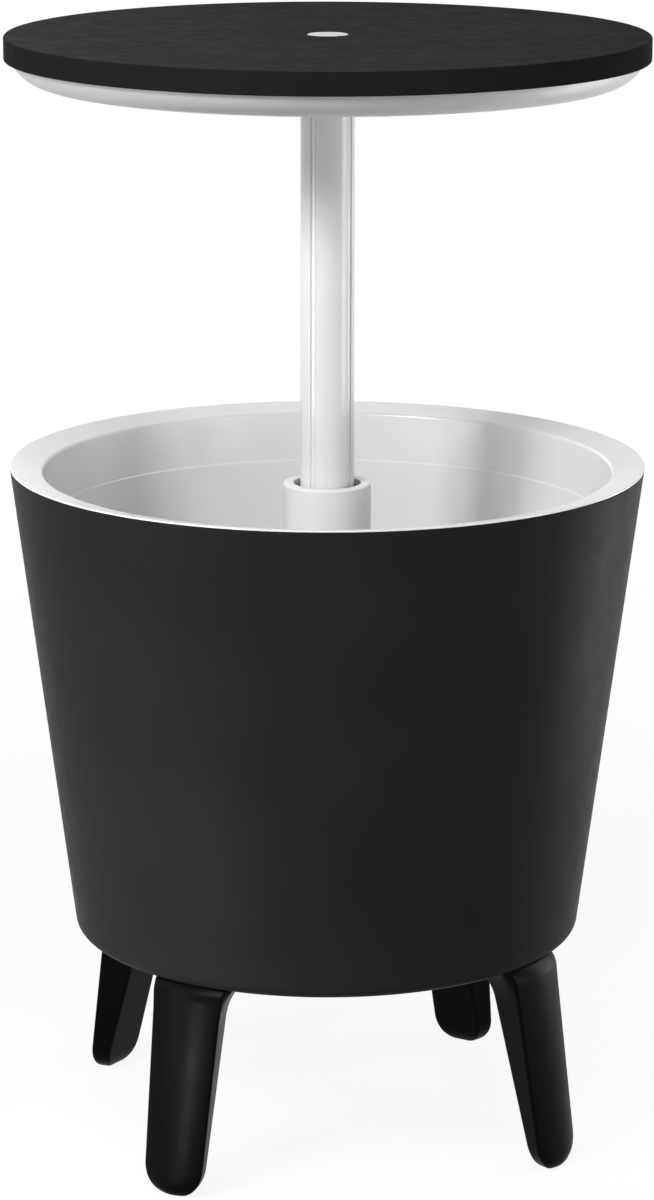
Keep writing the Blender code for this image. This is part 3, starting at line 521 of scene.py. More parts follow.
materials = {
    "shell": material("shell_black", SHELL_BLACK, 0.44, (0.0009, 0.00004), level=0.015, tint=0.1),
    "top": material("top_black", TOP_BLACK, 0.60, (0.0008, 0.00005), level=0.003, tint=0.1),
    "leg": material("leg_black", LEG_BLACK, 0.33, (0.004, 0.00003), level=0.03),
    "liner": material("liner_white", TUB_WHITE, 0.22, (0.02, 0.00008), tint=0.015),
    "column": material("column_white", TUB_WHITE, 0.30, (0.01, 0.00003), tint=0.015),
    "dish": material("dish_white", DISH_WHITE, 0.38, (0.0012, 0.00003), tint=0.02),
    "pole": material("pole_white", POLE_WHITE, 0.20, (0.03, 0.00006), tint=0.015),
    "cap": material("cap_grey", DISH_WHITE, 0.35, (0.001, 0.00002), tint=0.03),
    "insert": material("insert_grey", INSERT_GREY, 0.45, (0.001, 0.00003)),
    "rubber": material("seal_rubber", SEAL_BLACK, 0.75, (0.0006, 0.00004), level=0.3),
    "steel": material("zinc_steel", ZINC, 0.32, (0.0007, 0.00002), metallic=1.0, marks=0.3),
}


def dress(mesh, look):
    """Gives a mesh its material and smooth shading, keeping its corners sharp."""
    mesh.materials.clear()
    mesh.materials.append(materials[look])
    mesh.shade_smooth()
    mesh.set_sharp_from_angle(angle=SHARP_ANGLE)


def piece(name, shape, look, slot, body, *nodes):
    """A piece of the object in place of the CAD nodes named."""
    mesh = mesh_of(name, shape)
    mesh.name = name
    dress(mesh, look)
    made = thing(name, mesh)
    even = made.modifiers.new("even", "WEIGHTED_NORMAL")
    even.keep_sharp = True
    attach(made, body)
    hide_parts(*nodes)


def middle_of(node):
    low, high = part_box(node)
    return (low.x + high.x) / 2, (low.y + high.y) / 2


def numbered(name, count):
    return [f"{name}_{number}" for number in range(1, count + 1)]


leg_screws = [middle_of(node) for node in numbered("leg_screw", 8)]
liner_screws = [middle_of(node) for node in numbered("liner_screw", 4)]
column_screws = [middle_of(node) for node in numbered("column_screw", 4)]
lid_screws = [middle_of(node) for node in numbered("lid_screw", LID_SCREWS)]
drain_spot = middle_of("drain_fitting")
drain_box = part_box("drain_fitting")
top_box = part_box("table_top")


def cone_radius(radius, top, height):
    """Radius of a wall with the body's draft, which has the given radius at its top."""
    return radius - taper * (top - height)


# Body

def build_shell():
    inner_top = TOP_RADIUS - shell_across
    collar = column_hole + SHELL_WALL
    outline = rounded(
        [
            (column_hole, shell_floor + SHELL_COLLAR, SOFT),
            (collar, shell_floor + SHELL_COLLAR, SOFT),
            (collar, shell_floor, SHELL_COLLAR_FILLET),
            (cone_radius(inner_top, BODY_TOP, shell_floor), shell_floor, SHELL_CORNER - SHELL_WALL),
            (inner_top, BODY_TOP, PLAIN),
            (TOP_RADIUS, BODY_TOP, SOFT),
            (bottom_radius, BODY_BOTTOM, SHELL_CORNER),
            (column_hole, BODY_BOTTOM, PLAIN),
        ],
        steps=16,
    )
    boss_top = shell_floor + BOSS_HEIGHT
    low, high = BODY_BOTTOM - CUT, shell_floor + CUT
    bosses = rods(leg_screws, boss_radius, shell_floor - JOIN, boss_top)
    holes = rods(liner_screws, pilot, low, high)
    rods(leg_screws, pilot, low, boss_top - BOSS_CLOSED, holes)
    rod(drain_hole, SMALL, low, high, drain_spot, holes)
    mesh = combined(turned(outline, LARGE), ("UNION", bosses), ("DIFFERENCE", holes))
    piece("body_shell", mesh, "shell", "shell_plastic", "base", "outer_shell")


def build_liner():
    skirt_bottom = rim_base - RIM_SKIRT
    skirt = cone_radius(TOP_RADIUS - shell_across, BODY_TOP, skirt_bottom) - SEAT
    skirt_inner = skirt - RIM_SKIRT_WALL
    wall_top = mouth_radius + LINER_WALL
    ledge = mouth_height - STEP_DEPTH
    ledge_radius = mouth_radius - STEP_DEPTH * taper
    floor_radius = cone_radius(ledge_radius, ledge, liner_floor) - STEP_WIDTH
    slope = RIM_DROP / RIM_WIDTH
    plate_under = mouth_height - RIM_PLATE
    outline = rounded(
        [
            (column_hole, liner_floor, PLAIN),
            (floor_radius, liner_floor, LINER_CORNER),
            (ledge_radius - STEP_WIDTH, ledge - STEP_WIDTH, PLAIN),
            (ledge_radius, ledge, STEP_ROUND),
            (mouth_radius, mouth_height, RIM_ROUND),
            (TOP_RADIUS, rim_top, RIM_LIP_ROUND),
            (TOP_RADIUS, rim_base, FINE),
            (skirt, rim_base),
            (skirt, skirt_bottom, PLAIN),
            (skirt_inner, skirt_bottom, PLAIN),
            (skirt_inner, plate_under + slope * (skirt_inner - mouth_radius), RIM_FILLET),
            (wall_top, plate_under + slope * LINER_WALL, RIM_FILLET),
            (floor_radius + LINER_WALL, liner_under, LINER_CORNER + LINER_WALL),
            (column_hole, liner_under, PLAIN),
        ],
        steps=12,
    )
    low, high = liner_under - CUT, liner_floor + CUT
    boss_bottom = liner_under - BOSS_HEIGHT
    posts = rods(liner_screws, STANDOFF_RADIUS, shell_floor + SEAT, liner_under + JOIN)
    rods(column_screws, boss_radius, boss_bottom, liner_under + JOIN, posts)
    holes = rods(liner_screws, pilot, shell_floor, shell_floor + STANDOFF_SCREW_BITE + HOLE_SPARE)
    rods(column_screws, pilot, boss_bottom + BOSS_CLOSED, high, holes)
    rod(drain_hole, SMALL, low, high, drain_spot, holes)
    mesh = combined(turned(outline, LARGE), ("UNION", posts), ("DIFFERENCE", holes))
    piece("tub_liner", mesh, "liner", "liner_plastic", "base", "inner_liner")


# Legs

def eased(low, high, share):
    """From low to high along a quarter of an ellipse, steep at first."""
    return low + (high - low) * math.sqrt(1 - (1 - min(share, 1.0)) ** 2)


def late(size, share):
    """From nothing to size along a quarter of an ellipse, steep at last."""
    return size - eased(0.0, size, 1 - min(max(share, 0.0), 1.0))


def leg_section(height):
    """The leg's outline at this height, seen from above, with +X outwards."""
    full = LEG_HALF_WIDTH + LEG_WIDENING * height
    half = eased(LEG_FOOT_HALF_WIDTH, full, height / LEG_END_ROUND)
    depth = LEG_DEPTH + LEG_DEEPENING * height
    thick = eased(LEG_FOOT_THICK, depth + LEG_CROWN, height / LEG_EDGE_ROUND)
    share = thick / (depth + LEG_CROWN)
    narrowing = (LEG_NARROWING + LEG_NARROWING_UP * height) * half / full
    middle = leg_reach - LEG_SLOPE * height - (depth + LEG_CROWN) / 2
    shoulder = late(LEG_SHOULDER, (height - BODY_BOTTOM + LEG_SHOULDER_DROP) / LEG_SHOULDER)
    flare = late(LEG_FLARE, 1 + (height - BODY_BOTTOM) / LEG_FLARE_HEIGHT)
    crown = middle + thick / 2
    ridge = Vector((crown - shoulder - LEG_CROWN * share, half))
    corner = Vector((middle - thick / 2, half - narrowing))
    side = (corner - ridge).normalized()
    outward = Vector((side.y, -side.x))
    points = []
    for step in range(1, CROWN_STEPS):
        across = 2 * step / CROWN_STEPS - 1
        bulge = LEG_BULGE * share * (1 - across ** 2)
        points.append((crown - shoulder + bulge - LEG_CROWN * share * across ** 2, across * half))
    flank = [(*ridge, LEG_RIDGE_ROUND * share + LEG_FOOT_RIDGE_ROUND)]
    for step in range(1, FLANK_STEPS):
        way = step / FLANK_STEPS
        flank.append(tuple(ridge.lerp(corner, way) + outward * flare * way ** LEG_FLARE_POWER))
    turn = corner + Vector((-flare, flare))
    flank.append((*turn, LEG_INNER_ROUND * share + LEG_FOOT_INNER_ROUND))
    other = [(x, -y, *more) for x, y, *more in reversed(flank)]
    return rounded(points + flank + other, steps=5)


def leg_heights():
    """The heights of the leg's outlines, from the floor to inside the shell's bottom."""
    heights = [LEG_END_ROUND * (1 - math.cos(math.pi / 2 * step / FOOT_STEPS)) for step in range(FOOT_STEPS + 1)]
    foot_top = heights[-1]
    flare_start = BODY_BOTTOM - LEG_FLARE_HEIGHT
    for step in range(1, LEG_STEPS + 1):
        heights.append(foot_top + (flare_start - foot_top) * step / LEG_STEPS)
    for step in range(1, FLARE_STEPS + 1):
        heights.append(flare_start + LEG_FLARE_HEIGHT * math.sin(math.pi / 2 * step / FLARE_STEPS))
    return heights + [BODY_BOTTOM + JOIN, BODY_BOTTOM + CUT]


def build_legs():
    """Four legs. Each fits the rounded bottom of the shell, and has a plate for its two screws."""
    top = BODY_BOTTOM - SEAT
    above = BODY_BOTTOM + 2 * SHELL_CORNER
    seat_outline = rounded(
        [
            (0, top),
            (bottom_radius + SEAT, top, SHELL_CORNER + SEAT),
            (cone_radius(TOP_RADIUS, BODY_TOP, above) + SEAT, above),
            (0, above),
        ],
        steps=16,
    )
    reach = leg_top_reach - PLATE_LENGTH
    end = leg_top_reach - PLATE_END
    plate_outline = rounded(
        [
            (reach, -PLATE_HALF_WIDTH, PLATE_ROUND),
            (end, -PLATE_HALF_WIDTH),
            (end, PLATE_HALF_WIDTH),
            (reach, PLATE_HALF_WIDTH, PLATE_ROUND),
        ],
        steps=12,
    )
    screws = [(reach + PLATE_SCREW_IN, side * PLATE_SCREW_APART) for side in (-1, 1)]
    shape = bmesh.new()
    loops = [[shape.verts.new((x, y, z)) for x, y in leg_section(z)] for z in leg_heights()]
    for low, high in zip(loops, loops[1:]):
        wrap(shape, low, high)
    shape.faces.new(loops[0][::-1])
    shape.faces.new(loops[-1])
    plate = prism(plate_outline, top - PLATE_THICK, top + JOIN)
    holes = rods(screws, pilot, top - PLATE_THICK - CUT, top + CUT)
    room = turned(seat_outline, LARGE, closed=False)
    mesh = combined(shape, ("UNION", plate), ("DIFFERENCE", holes), ("DIFFERENCE", room))
    for place, angle in LEG_ANGLES.items():
        leg = mesh.copy()
        leg.transform(Matrix.Rotation(math.radians(angle), 4, "Z"))
        piece(f"{place}_leg", leg, "leg", "leg_plastic", "base", f"leg_{place}")


# Column, sleeve and pole

def build_column():
    low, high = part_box("centre_column")
    mouth = POLE_RADIUS + COLUMN_MOUTH_GAP
    flange_top = flange_bottom + COLUMN_FLANGE_THICK
    lip_bottom = high.z - COLUMN_LIP
    groove = column_bore + RING_GRIP + SLIDE
    groove_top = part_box("guide_sleeve")[0].z
    groove_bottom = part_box("sleeve_ring")[0].z - SEAT
    outline = rounded(
        [
            (column_radius, low.z, PLAIN),
            (column_radius, flange_bottom),
            (column_flange, flange_bottom, PLAIN),
            (column_flange, flange_top, COLUMN_FLANGE_ROUND),
            (column_radius, flange_top, COLUMN_FILLET),
            (column_radius, high.z - COLUMN_CHAMFER, COLUMN_CHAMFER_ROUND),
            (column_radius - COLUMN_CHAMFER, high.z, SOFT),
            (mouth + COLUMN_MOUTH_CHAMFER, high.z, FINE),
            (mouth, high.z - COLUMN_MOUTH_CHAMFER, FINE),
            (mouth, lip_bottom),
            (column_bore, lip_bottom),
            (column_bore, groove_top),
            (groove, groove_top),
            (groove, groove_bottom),
            (column_bore, groove_bottom),
            (column_bore, low.z + COLUMN_FLOOR),
            (COLUMN_WEEP, low.z + COLUMN_FLOOR),
            (COLUMN_WEEP, low.z, COLUMN_WEEP_ROUND),
        ],
        steps=8,
    )
    rib_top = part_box("pole_foot")[0].z - TURN_GAP
    ribs = bmesh.new()
    for rib in range(KEY_COUNT):
        middle = TURN_TO_LOCK + math.tau * rib / KEY_COUNT
        inner = arc(POLE_RADIUS + RIB_GAP, middle, RIB_HALF_ANGLE, RIB_STEPS)
        outer = arc(column_bore + RIB_ROOT, middle, RIB_HALF_ANGLE, RIB_STEPS)
        prism(outer + inner[::-1], rib_top - RIB_LENGTH, rib_top, ribs)
    holes = rods(column_screws, pilot, flange_bottom - CUT, flange_top + CUT)
    mesh = combined(turned(outline, MEDIUM), ("UNION", ribs), ("DIFFERENCE", holes))
    piece("column", mesh, "column", "column_plastic", "base", "centre_column")


def build_sleeve():
    low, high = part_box("guide_sleeve")
    bore = keyed(POLE_RADIUS + SLIDE, keyway_floor + SLIDE, KEYWAY_WIDTH - 2 * SLIDE, CRISP)
    sleeve = tube(same_angles(bore, sleeve_radius), bore, low.z, high.z)
    piece("keyed_sleeve", sleeve, "insert", "insert_plastic", "guide", "guide_sleeve")


def build_pole():
    low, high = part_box("pole")
    outline = keyed(POLE_RADIUS, keyway_floor, KEYWAY_WIDTH, KEYWAY_ROUND)
    pole = tube(outline, same_angles(outline, POLE_RADIUS - POLE_WALL), low.z, high.z)
    holes = bmesh.new()
    for node in ("head_pin", "foot_pin"):
        pin_low, pin_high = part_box(node)
        cross = rod(SEAT + (pin_high.z - pin_low.z) / 2, TINY, -PIN_HOLE_REACH, PIN_HOLE_REACH)
        turn = Matrix.Rotation(math.pi / 2, 3, "Y")
        bmesh.ops.rotate(cross, verts=cross.verts, cent=(0, 0, 0), matrix=turn)
        bmesh.ops.translate(cross, verts=cross.verts, vec=(0, 0, (pin_low.z + pin_high.z) / 2))
        scratch = mesh_of("scratch", cross)
        holes.from_mesh(scratch)
        bpy.data.meshes.remove(scratch)
    mesh = combined(pole, ("DIFFERENCE", holes))
    piece("lift_pole", mesh, "pole", "pole_plastic", "table", "pole")


# Table

def build_table_top():
    low, high = top_box
    inner = TOP_RADIUS - TOP_RIM_WALL
    rim_bottom = high.z - TOP_RIM_HEIGHT
    plate_under = high.z - TOP_PLATE
    boss = cap_pocket + TOP_PLATE
    room = SCREW_HEAD + CAP_SCREW_ROOM
    cap_floor = high.z - CAP_HEIGHT - SEAT
    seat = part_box("centre_screw")[1].z - SCREW_HEAD_HEIGHT - SEAT
    outline = rounded(
        [
            (pilot, seat),
            (room, seat),
            (room, cap_floor),
            (cap_pocket, cap_floor),
            (cap_pocket, high.z, FINE),
            (TOP_RADIUS, high.z, TOP_EDGE_ROUND),
            (TOP_RADIUS, rim_bottom, TOP_RIM_ROUND),
            (inner, rim_bottom, SOFT),
            (inner, plate_under, TOP_RIM_FILLET),
            (boss, plate_under, TOP_BOSS_FILLET),
            (boss, seat - TOP_PLATE, TOP_BOSS_ROUND),
            (pilot, seat - TOP_PLATE),
        ],
        steps=8,
    )
    root = plate_under + JOIN
    solid = rods(lid_screws, TOP_BOSS_RADIUS, low.z, root)
    start, end = boss + TOP_RIB_GAP, under_radius - UNDER_WALL - TOP_RIB_GAP
    half = TOP_RIB_WALL / 2
    for rib in range(LID_SCREWS):
        turn = Matrix.Rotation(math.tau * rib / LID_SCREWS, 2)
        corners = [turn @ Vector(c) for c in ((start, -half), (end, -half), (end, half), (start, half))]
        prism(corners, plate_under - TOP_RIB_DEPTH, root, solid)
    holes = rods(lid_screws, pilot, low.z - CUT, low.z + LID_SCREW_BITE + HOLE_SPARE)
    mesh = combined(turned(outline, LARGE), ("UNION", solid), ("DIFFERENCE", holes))
    piece("table_plate", mesh, "top", "top_plastic", "table", "table_top")


def build_underside():
    """The pale dish, tucked inside the black rim, with a socket round the pole."""
    rim_bottom = top_box[1].z - TOP_RIM_HEIGHT
    flat_radius = under_radius - UNDER_INSET
    bottom = rim_bottom - UNDER_DEPTH
    floor = bottom + UNDER_WALL
    bore = POLE_RADIUS + SLIDE
    socket = bore + SOCKET_WALL
    outer = bulging((under_radius, rim_bottom), (flat_radius, bottom), UNDER_BULGE)
    inner = bulging((under_radius - UNDER_WALL, rim_bottom), (flat_radius, floor), UNDER_BULGE)
    outline = rounded(
        [
            (socket, bottom, SOCKET_FILLET),
            (socket, bottom - SOCKET_DROP, SOCKET_ROUND),
            (bore, bottom - SOCKET_DROP, SOFT),
        ],
        steps=6,
    )
    outline += [(bore, floor + SOCKET_DROP), (socket, floor + SOCKET_DROP), (socket, floor)]
    outline += inner[::-1]
    outline += [(under_radius - UNDER_WALL, rim_bottom + UNDER_TUCK), (under_radius, rim_bottom + UNDER_TUCK)]
    outline += outer
    holes = rods(lid_screws, pilot, bottom - CUT, floor + CUT)
    mesh = combined(turned(outline, LARGE), ("DIFFERENCE", holes))
    piece("table_dish", mesh, "dish", "dish_plastic", "table", "table_underside")


def build_cap():
    """The disc over the centre screw, hollow below, with a small pry notch in its edge."""
    high = top_box[1]
    roof = high.z - CAP_ROOF
    skirt = CAP_RADIUS - CAP_SKIRT
    outline = rounded(
        [
            (0, high.z),
            (CAP_RADIUS, high.z, CAP_ROUND),
            (CAP_RADIUS, high.z - CAP_HEIGHT),
            (skirt, high.z - CAP_HEIGHT),
            (skirt, roof),
            (0, roof),
        ],
        steps=6,
    )
    centre = around(CAP_RADIUS, CAP_NOTCH_ANGLE)
    notch = rod(CAP_NOTCH, SMALL, high.z - CAP_NOTCH_DEPTH, high.z + CUT, centre)
    mesh = combined(turned(outline, MEDIUM, closed=False), ("DIFFERENCE", notch))
    piece("centre_cap", mesh, "cap", "cap_plastic", "table", "top_cap")


# Drain, seals and screws

def drain_piece(name, shape, look, slot, body, node):
    """A piece that is made round the axis and belongs at the drain."""
    mesh = mesh_of(name, shape)
    mesh.transform(Matrix.Translation((*drain_spot, 0)))
    piece(name, mesh, look, slot, body, node)


def build_drain():
    """The fitting through both floors, and the nut that clamps it below."""
    low, high = drain_box
    flange = DRAIN_TUBE + DRAIN_FLANGE
    outline = rounded(
        [
            (DRAIN_TUBE, low.z, PLAIN),
            (DRAIN_TUBE, flange_bottom),
            (flange, flange_bottom, FINE),
            (flange, high.z - SOFT, SOFT),
            (flange - DRAIN_FLANGE_BEVEL, high.z, SOFT),
            (drain_bore, high.z, DRAIN_BORE_ROUND),
            (drain_bore, low.z, PLAIN),
        ],
        steps=6,
    )
    drain_piece("drain_tube", turned(outline, MEDIUM), "insert", "insert_plastic", "base", "drain_fitting")

    low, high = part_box("drain_nut")
    cone = rounded(
        [
            (drain_hole, low.z, FINE),
            (NUT_FACE, low.z, NUT_FACE_ROUND),
            (NUT_CORNERS, low.z + NUT_BEVEL),
            (NUT_CORNERS, high.z - NUT_BEVEL),
            (NUT_FACE, high.z, NUT_FACE_ROUND),
            (drain_hole, high.z, FINE),
        ],
        steps=4,
    )
    hexagon = rod(DRAIN_TUBE + DRAIN_NUT, 6, low.z, high.z)
    nut = combined(hexagon, ("INTERSECT", turned(cone, MEDIUM)))
    drain_piece("drain_locknut", nut, "insert", "insert_plastic", "base", "drain_nut")


def build_plug():
    """The plug pushed up into the drain's tail, with a seal in a groove and a ridged grip."""
    low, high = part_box("drain_plug")
    seal_low, seal_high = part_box("plug_seal")
    stem = drain_bore - SEAT
    groove = stem - SEAL_DEPTH
    flange = DRAIN_TUBE + PLUG_LIP
    flange_high = drain_box[0].z - SEAT
    flange_low = flange_high - PLUG_FLANGE_THICK
    outline = rounded(
        [
            (0, high.z),
            (stem, high.z, PLUG_TIP_ROUND),
            (stem, seal_high.z + SEAT),
            (groove, seal_high.z + SEAT),
            (groove, seal_low.z - SEAT),
            (stem, seal_low.z - SEAT),
            (stem, flange_high),
            (flange, flange_high, PLAIN),
            (flange, flange_low, PLUG_FLANGE_ROUND),
            (0, flange_low),
        ],
        steps=6,
    )
    half = GRIP_THICK / 2
    grip = prism(box_outline(GRIP_WIDTH / 2, half, half * GRIP_ROUND, steps=8), low.z, flange_low + JOIN)
    ridge = box_outline(RIDGE_WIDTH / 2, RIDGE_THICK / 2, PLAIN, steps=3)
    for number in range(1, RIDGE_COUNT + 1):
        height = low.z + RIDGE_PITCH * number
        prism(ridge, height - RIDGE_HEIGHT / 2, height + RIDGE_HEIGHT / 2, grip)
    plug = combined(turned(outline, MEDIUM, closed=False), ("UNION", grip))
    drain_piece("drain_stopper", plug, "insert", "insert_plastic", "drain_plug", "drain_plug")

    middle = (seal_low.z + seal_high.z) / 2
    section = [(SEAL_RADIUS + r * SEAL_FLATNESS, middle + z) for r, z in ring_of(SEAL_SIDES, SEAL_HALF_HEIGHT)]
    drain_piece("stopper_seal", turned(section, MEDIUM), "rubber", "rubber", "drain_plug", "plug_seal")


def build_gaskets():
    low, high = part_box("drain_gasket")
    washer = gasket_ring(drain_hole, DRAIN_TUBE + DRAIN_FLANGE, low.z, high.z)
    drain_piece("drain_washer", washer, "rubber", "rubber", "base", "drain_gasket")

    low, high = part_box("column_gasket")
    holes = rods(column_screws, pilot, low.z - CUT, high.z + CUT)
    gasket = combined(gasket_ring(column_hole, column_flange, low.z, high.z), ("DIFFERENCE", holes))
    piece("column_washer", gasket, "rubber", "rubber", "base", "column_gasket")


def screw_mesh(length):
    """A pan head screw with a cross recess, its head down and its bearing face at zero."""
    outline = rounded(
        [
            (0, -SCREW_HEAD_HEIGHT),
            (SCREW_HEAD_TOP, -SCREW_HEAD_HEIGHT, SCREW_HEAD_ROUND),
            (SCREW_HEAD, -PLAIN, PLAIN),
            (SCREW_HEAD, 0),
            (SCREW_RADIUS, 0, CRISP),
            (SCREW_RADIUS, length - SCREW_TIP),
            (0, length),
        ],
        steps=4,
    )
    half, arm = RECESS_HALF_WIDTH, RECESS_ARM
    points = []
    for quarter in range(4):
        turn = Matrix.Rotation(math.pi / 2 * quarter, 2)
        points += [turn @ Vector(c) for c in ((half, -half), (arm, -half), (arm, half))]
    recess = prism(points, -SCREW_HEAD_HEIGHT - CUT, -RECESS_FLOOR)
    return combined(turned(outline, SMALL, closed=False), ("DIFFERENCE", recess))


def build_screws():
    kinds = [
        (numbered("leg_screw", 8), "base", False),
        (numbered("liner_screw", 4), "base", False),
        (numbered("column_screw", 4), "base", True),
        (numbered("lid_screw", LID_SCREWS), "table", False),
        (["centre_screw"], "table", True),
    ]
    for nodes, body, head_up in kinds:
        low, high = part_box(nodes[0])
        mesh = screw_mesh(high.z - low.z - SCREW_HEAD_HEIGHT)
        flip = Matrix.Rotation(math.pi, 4, "X") if head_up else Matrix.Identity(4)
        bearing = high.z - SCREW_HEAD_HEIGHT if head_up else low.z + SCREW_HEAD_HEIGHT
        for number, node in enumerate(nodes):
            spin = Matrix.Rotation(MORE_SPIN * number + FIRST_SPIN, 4, "Z")
            screw = mesh.copy()
            screw.transform(Matrix.Translation((*middle_of(node), bearing)) @ flip @ spin)
            piece(f"{node}_zinc", screw, "steel", "steel", body, node)


def dress_kept_nodes():
    """The CAD nodes that stay as they are get their materials."""
    for look, nodes in {
        "steel": ("sleeve_ring", "head_pin", "foot_pin"),
        "insert": ("pole_head", "pole_foot"),
    }.items():
        for node in nodes:
            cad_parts[node].data.materials.clear()
            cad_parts[node].data.materials.append(materials[look])


# Floor, light and camera

CAMERA_TURN = math.radians(-11.8)
CAMERA_DISTANCE = 3.3124
CAMERA_HEIGHT = 1.2298
CAMERA_TILT = 0.2377         # below the level
CAMERA_ROLL = 0.0015
CAMERA_LENS = 129.80         # in millimetres, as is the sensor's width
CAMERA_SENSOR = 36
FLOOR_RADIUS = 8.0
FLOOR_THICK = 0.020
FLOOR_GREY = 0.36
FLOOR_NEAR = 0.5             # to here the floor is the shadow's, and from FLOOR_FAR the background's
FLOOR_FAR = 2.5
FLOOR_SHARE = 0.75           # of the background's white in the floor near the object
FLOOR_GLOW = 1.20            # strength of that white
WHITE = (1, 1, 1, 1)

# name, angle from the camera's side, distance, height, spot aimed at, width and height of the lamp, watts
LAMPS = [
    ("key", -37, 1.9, 1.75, (0, 0, 0.65), (0.45, 0.45), 26.0),
    ("key_left", -46, 1.9, 1.60, (0, 0, 0.65), (0.45, 0.45), 14.0),
    ("fill_left", -91, 1.9, 1.15, (0, 0, 0.60), (0.5, 1.0), 4.0),
    ("fill_right", 45, 1.9, 1.15, (0, 0, 0.60), (0.5, 1.0), 7.5),
    ("low_right", 75, 1.6, 0.42, (0, 0, 0.50), (0.6, 0.7), 6.0),
    ("back_left", -165, 1.9, 1.15, (0, 0, 0.60), (0.5, 1.0), 2.7),
    ("top_front", 0, 1.3, 2.30, (0, 0, 0.60), (0.8, 0.8), 14.3),
    ("top_back", 180, 1.6, 1.90, (0, 0, 0.60), (0.8, 0.8), 4.5),
    ("strip_left", -65, 0.85, 0.34, (0, 0, 0.34), (0.12, 0.6), 1.6),
    ("low_left", -60, 1.2, 0.22, (0, 0, 0.15), (0.25, 0.5), 1.2),
    ("strip_right", 110, 0.85, 0.34, (0, 0, 0.34), (0.36, 0.6), 3.4),
    ("leg_light", -42, 0.554, 0.07, (-0.141, -0.158, 0.06), (0.06, 0.13), 0.8),
]


def seen_from(angle, distance, height):
    """A place at this angle to the right of the camera's side, round the object."""
    turn = CAMERA_TURN + math.radians(angle)
    return Vector((math.sin(turn) * distance, -math.cos(turn) * distance, height))


def softbox(name, spot, aim, size, power):
    """A lamp that lights the object and isn't seen itself."""
    data = bpy.data.lights.new(name, "AREA")
    data.shape = "RECTANGLE"
    data.size, data.size_y = size
    data.energy = power
    made = thing(name, data)
    made.visible_camera = False
    made.location = spot
    made.rotation_mode = "QUATERNION"
    made.rotation_quaternion = (Vector(aim) - spot).to_track_quat("-Z", "Y")


def seen_rays(tree):
    """One for the rays that show the background: from the camera, mirrored, or through glass."""
    rays = tree.nodes.new("ShaderNodeLightPath")
    total = rays.outputs["Is Camera Ray"]
    for name in ("Is Glossy Ray", "Is Transmission Ray"):
        larger = tree.nodes.new("ShaderNodeMath")
        larger.operation = "MAXIMUM"
        tree.links.new(total, larger.inputs[0])
        tree.links.new(rays.outputs[name], larger.inputs[1])
        total = larger.outputs[0]
    return total


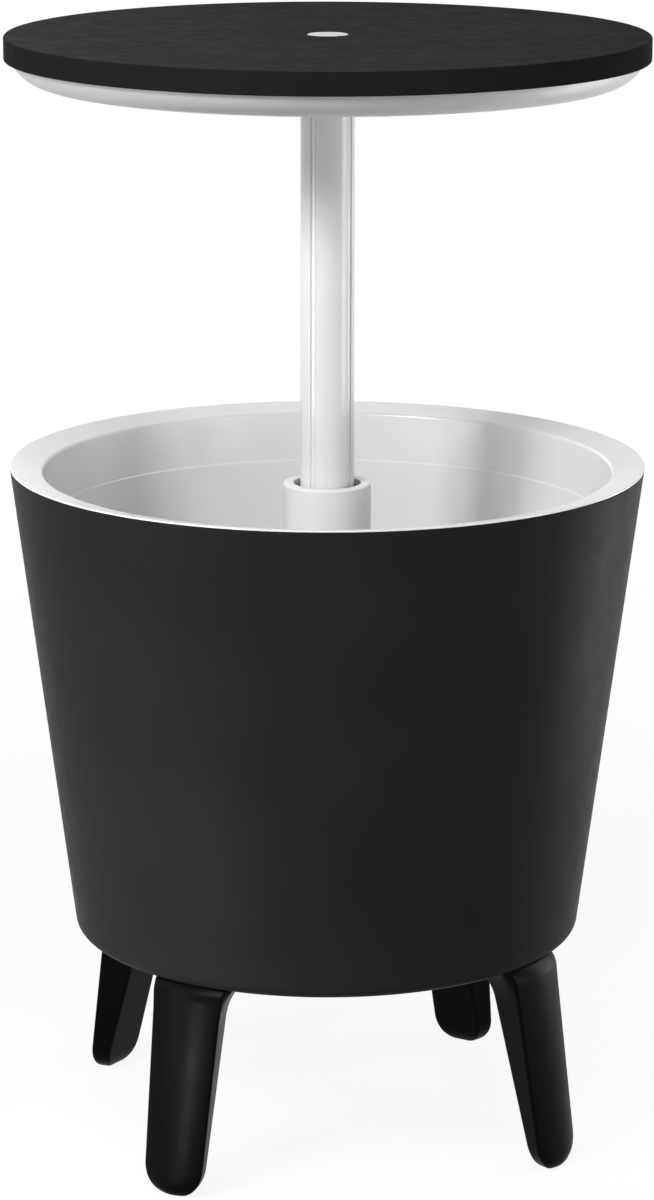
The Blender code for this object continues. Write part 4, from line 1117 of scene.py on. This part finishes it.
def build_floor():
    """A pale floor. It is painted white for the background, but for some of the shadow near the object."""
    floor = thing("floor", mesh_of("floor", rod(FLOOR_RADIUS, MEDIUM, -FLOOR_THICK, 0.0)))
    paint = bpy.data.materials.new("floor_pale")
    paint.use_nodes = True
    nodes, links = paint.node_tree.nodes, paint.node_tree.links
    shader = nodes["Principled BSDF"]
    shader.inputs["Base Color"].default_value = (FLOOR_GREY, FLOOR_GREY, FLOOR_GREY, 1)
    shader.inputs["Roughness"].default_value = 0.7
    shader.inputs["Specular IOR Level"].default_value = 0.1
    spot = nodes.new("ShaderNodeTexCoord")
    away = nodes.new("ShaderNodeVectorMath")
    away.operation = "LENGTH"
    links.new(spot.outputs["Object"], away.inputs[0])

    def fading(near):
        """From this value near the object to one far from it."""
        node = nodes.new("ShaderNodeMapRange")
        node.interpolation_type = "SMOOTHSTEP"
        node.inputs["From Min"].default_value = FLOOR_NEAR
        node.inputs["From Max"].default_value = FLOOR_FAR
        node.inputs["To Min"].default_value = near
        node.inputs["To Max"].default_value = 1.0
        links.new(away.outputs["Value"], node.inputs["Value"])
        return node.outputs["Result"]

    glow = nodes.new("ShaderNodeEmission")
    glow.inputs["Color"].default_value = WHITE
    links.new(fading(FLOOR_GLOW), glow.inputs["Strength"])
    part = nodes.new("ShaderNodeMath")
    part.operation = "MULTIPLY"
    links.new(seen_rays(paint.node_tree), part.inputs[0])
    links.new(fading(FLOOR_SHARE), part.inputs[1])
    mix = nodes.new("ShaderNodeMixShader")
    links.new(part.outputs[0], mix.inputs[0])
    links.new(shader.outputs[0], mix.inputs[1])
    links.new(glow.outputs[0], mix.inputs[2])
    links.new(mix.outputs[0], nodes["Material Output"].inputs["Surface"])
    floor.data.materials.append(paint)


def build_world():
    """White to the rays that show the background, and dark to those that light the object."""
    world = bpy.data.worlds.new("studio")
    bpy.context.scene.world = world
    world.use_nodes = True
    nodes, links = world.node_tree.nodes, world.node_tree.links
    room = nodes["Background"]
    room.inputs["Color"].default_value = WHITE
    room.inputs["Strength"].default_value = 0.0
    white = nodes.new("ShaderNodeBackground")
    white.inputs["Color"].default_value = WHITE
    white.inputs["Strength"].default_value = 1.0
    mix = nodes.new("ShaderNodeMixShader")
    links.new(seen_rays(world.node_tree), mix.inputs[0])
    links.new(room.outputs[0], mix.inputs[1])
    links.new(white.outputs[0], mix.inputs[2])
    links.new(mix.outputs[0], nodes["World Output"].inputs["Surface"])


def build_stage():
    build_floor()
    build_world()
    for name, angle, distance, height, aim, size, power in LAMPS:
        softbox(name, seen_from(angle, distance, height), aim, size, power)


def build_camera():
    """The camera, as fitted to the photograph."""
    data = bpy.data.cameras.new("camera")
    data.lens = CAMERA_LENS
    data.sensor_width = CAMERA_SENSOR
    made = thing("camera", data)
    spot = Matrix.Translation(seen_from(0, CAMERA_DISTANCE, CAMERA_HEIGHT))
    turn = Matrix.Rotation(CAMERA_TURN, 4, "Z")
    tilt = Matrix.Rotation(math.pi / 2 - CAMERA_TILT, 4, "X")
    roll = Matrix.Rotation(CAMERA_ROLL, 4, "Z")
    made.matrix_world = spot @ turn @ tilt @ roll
    bpy.context.scene.camera = made
    bpy.context.scene.view_settings.view_transform = "Standard"


build_camera()
build_stage()
build_shell()
build_liner()
build_legs()
build_column()
build_sleeve()
build_pole()
build_table_top()
build_underside()
build_cap()
build_drain()
build_plug()
build_gaskets()
build_screws()
dress_kept_nodes()
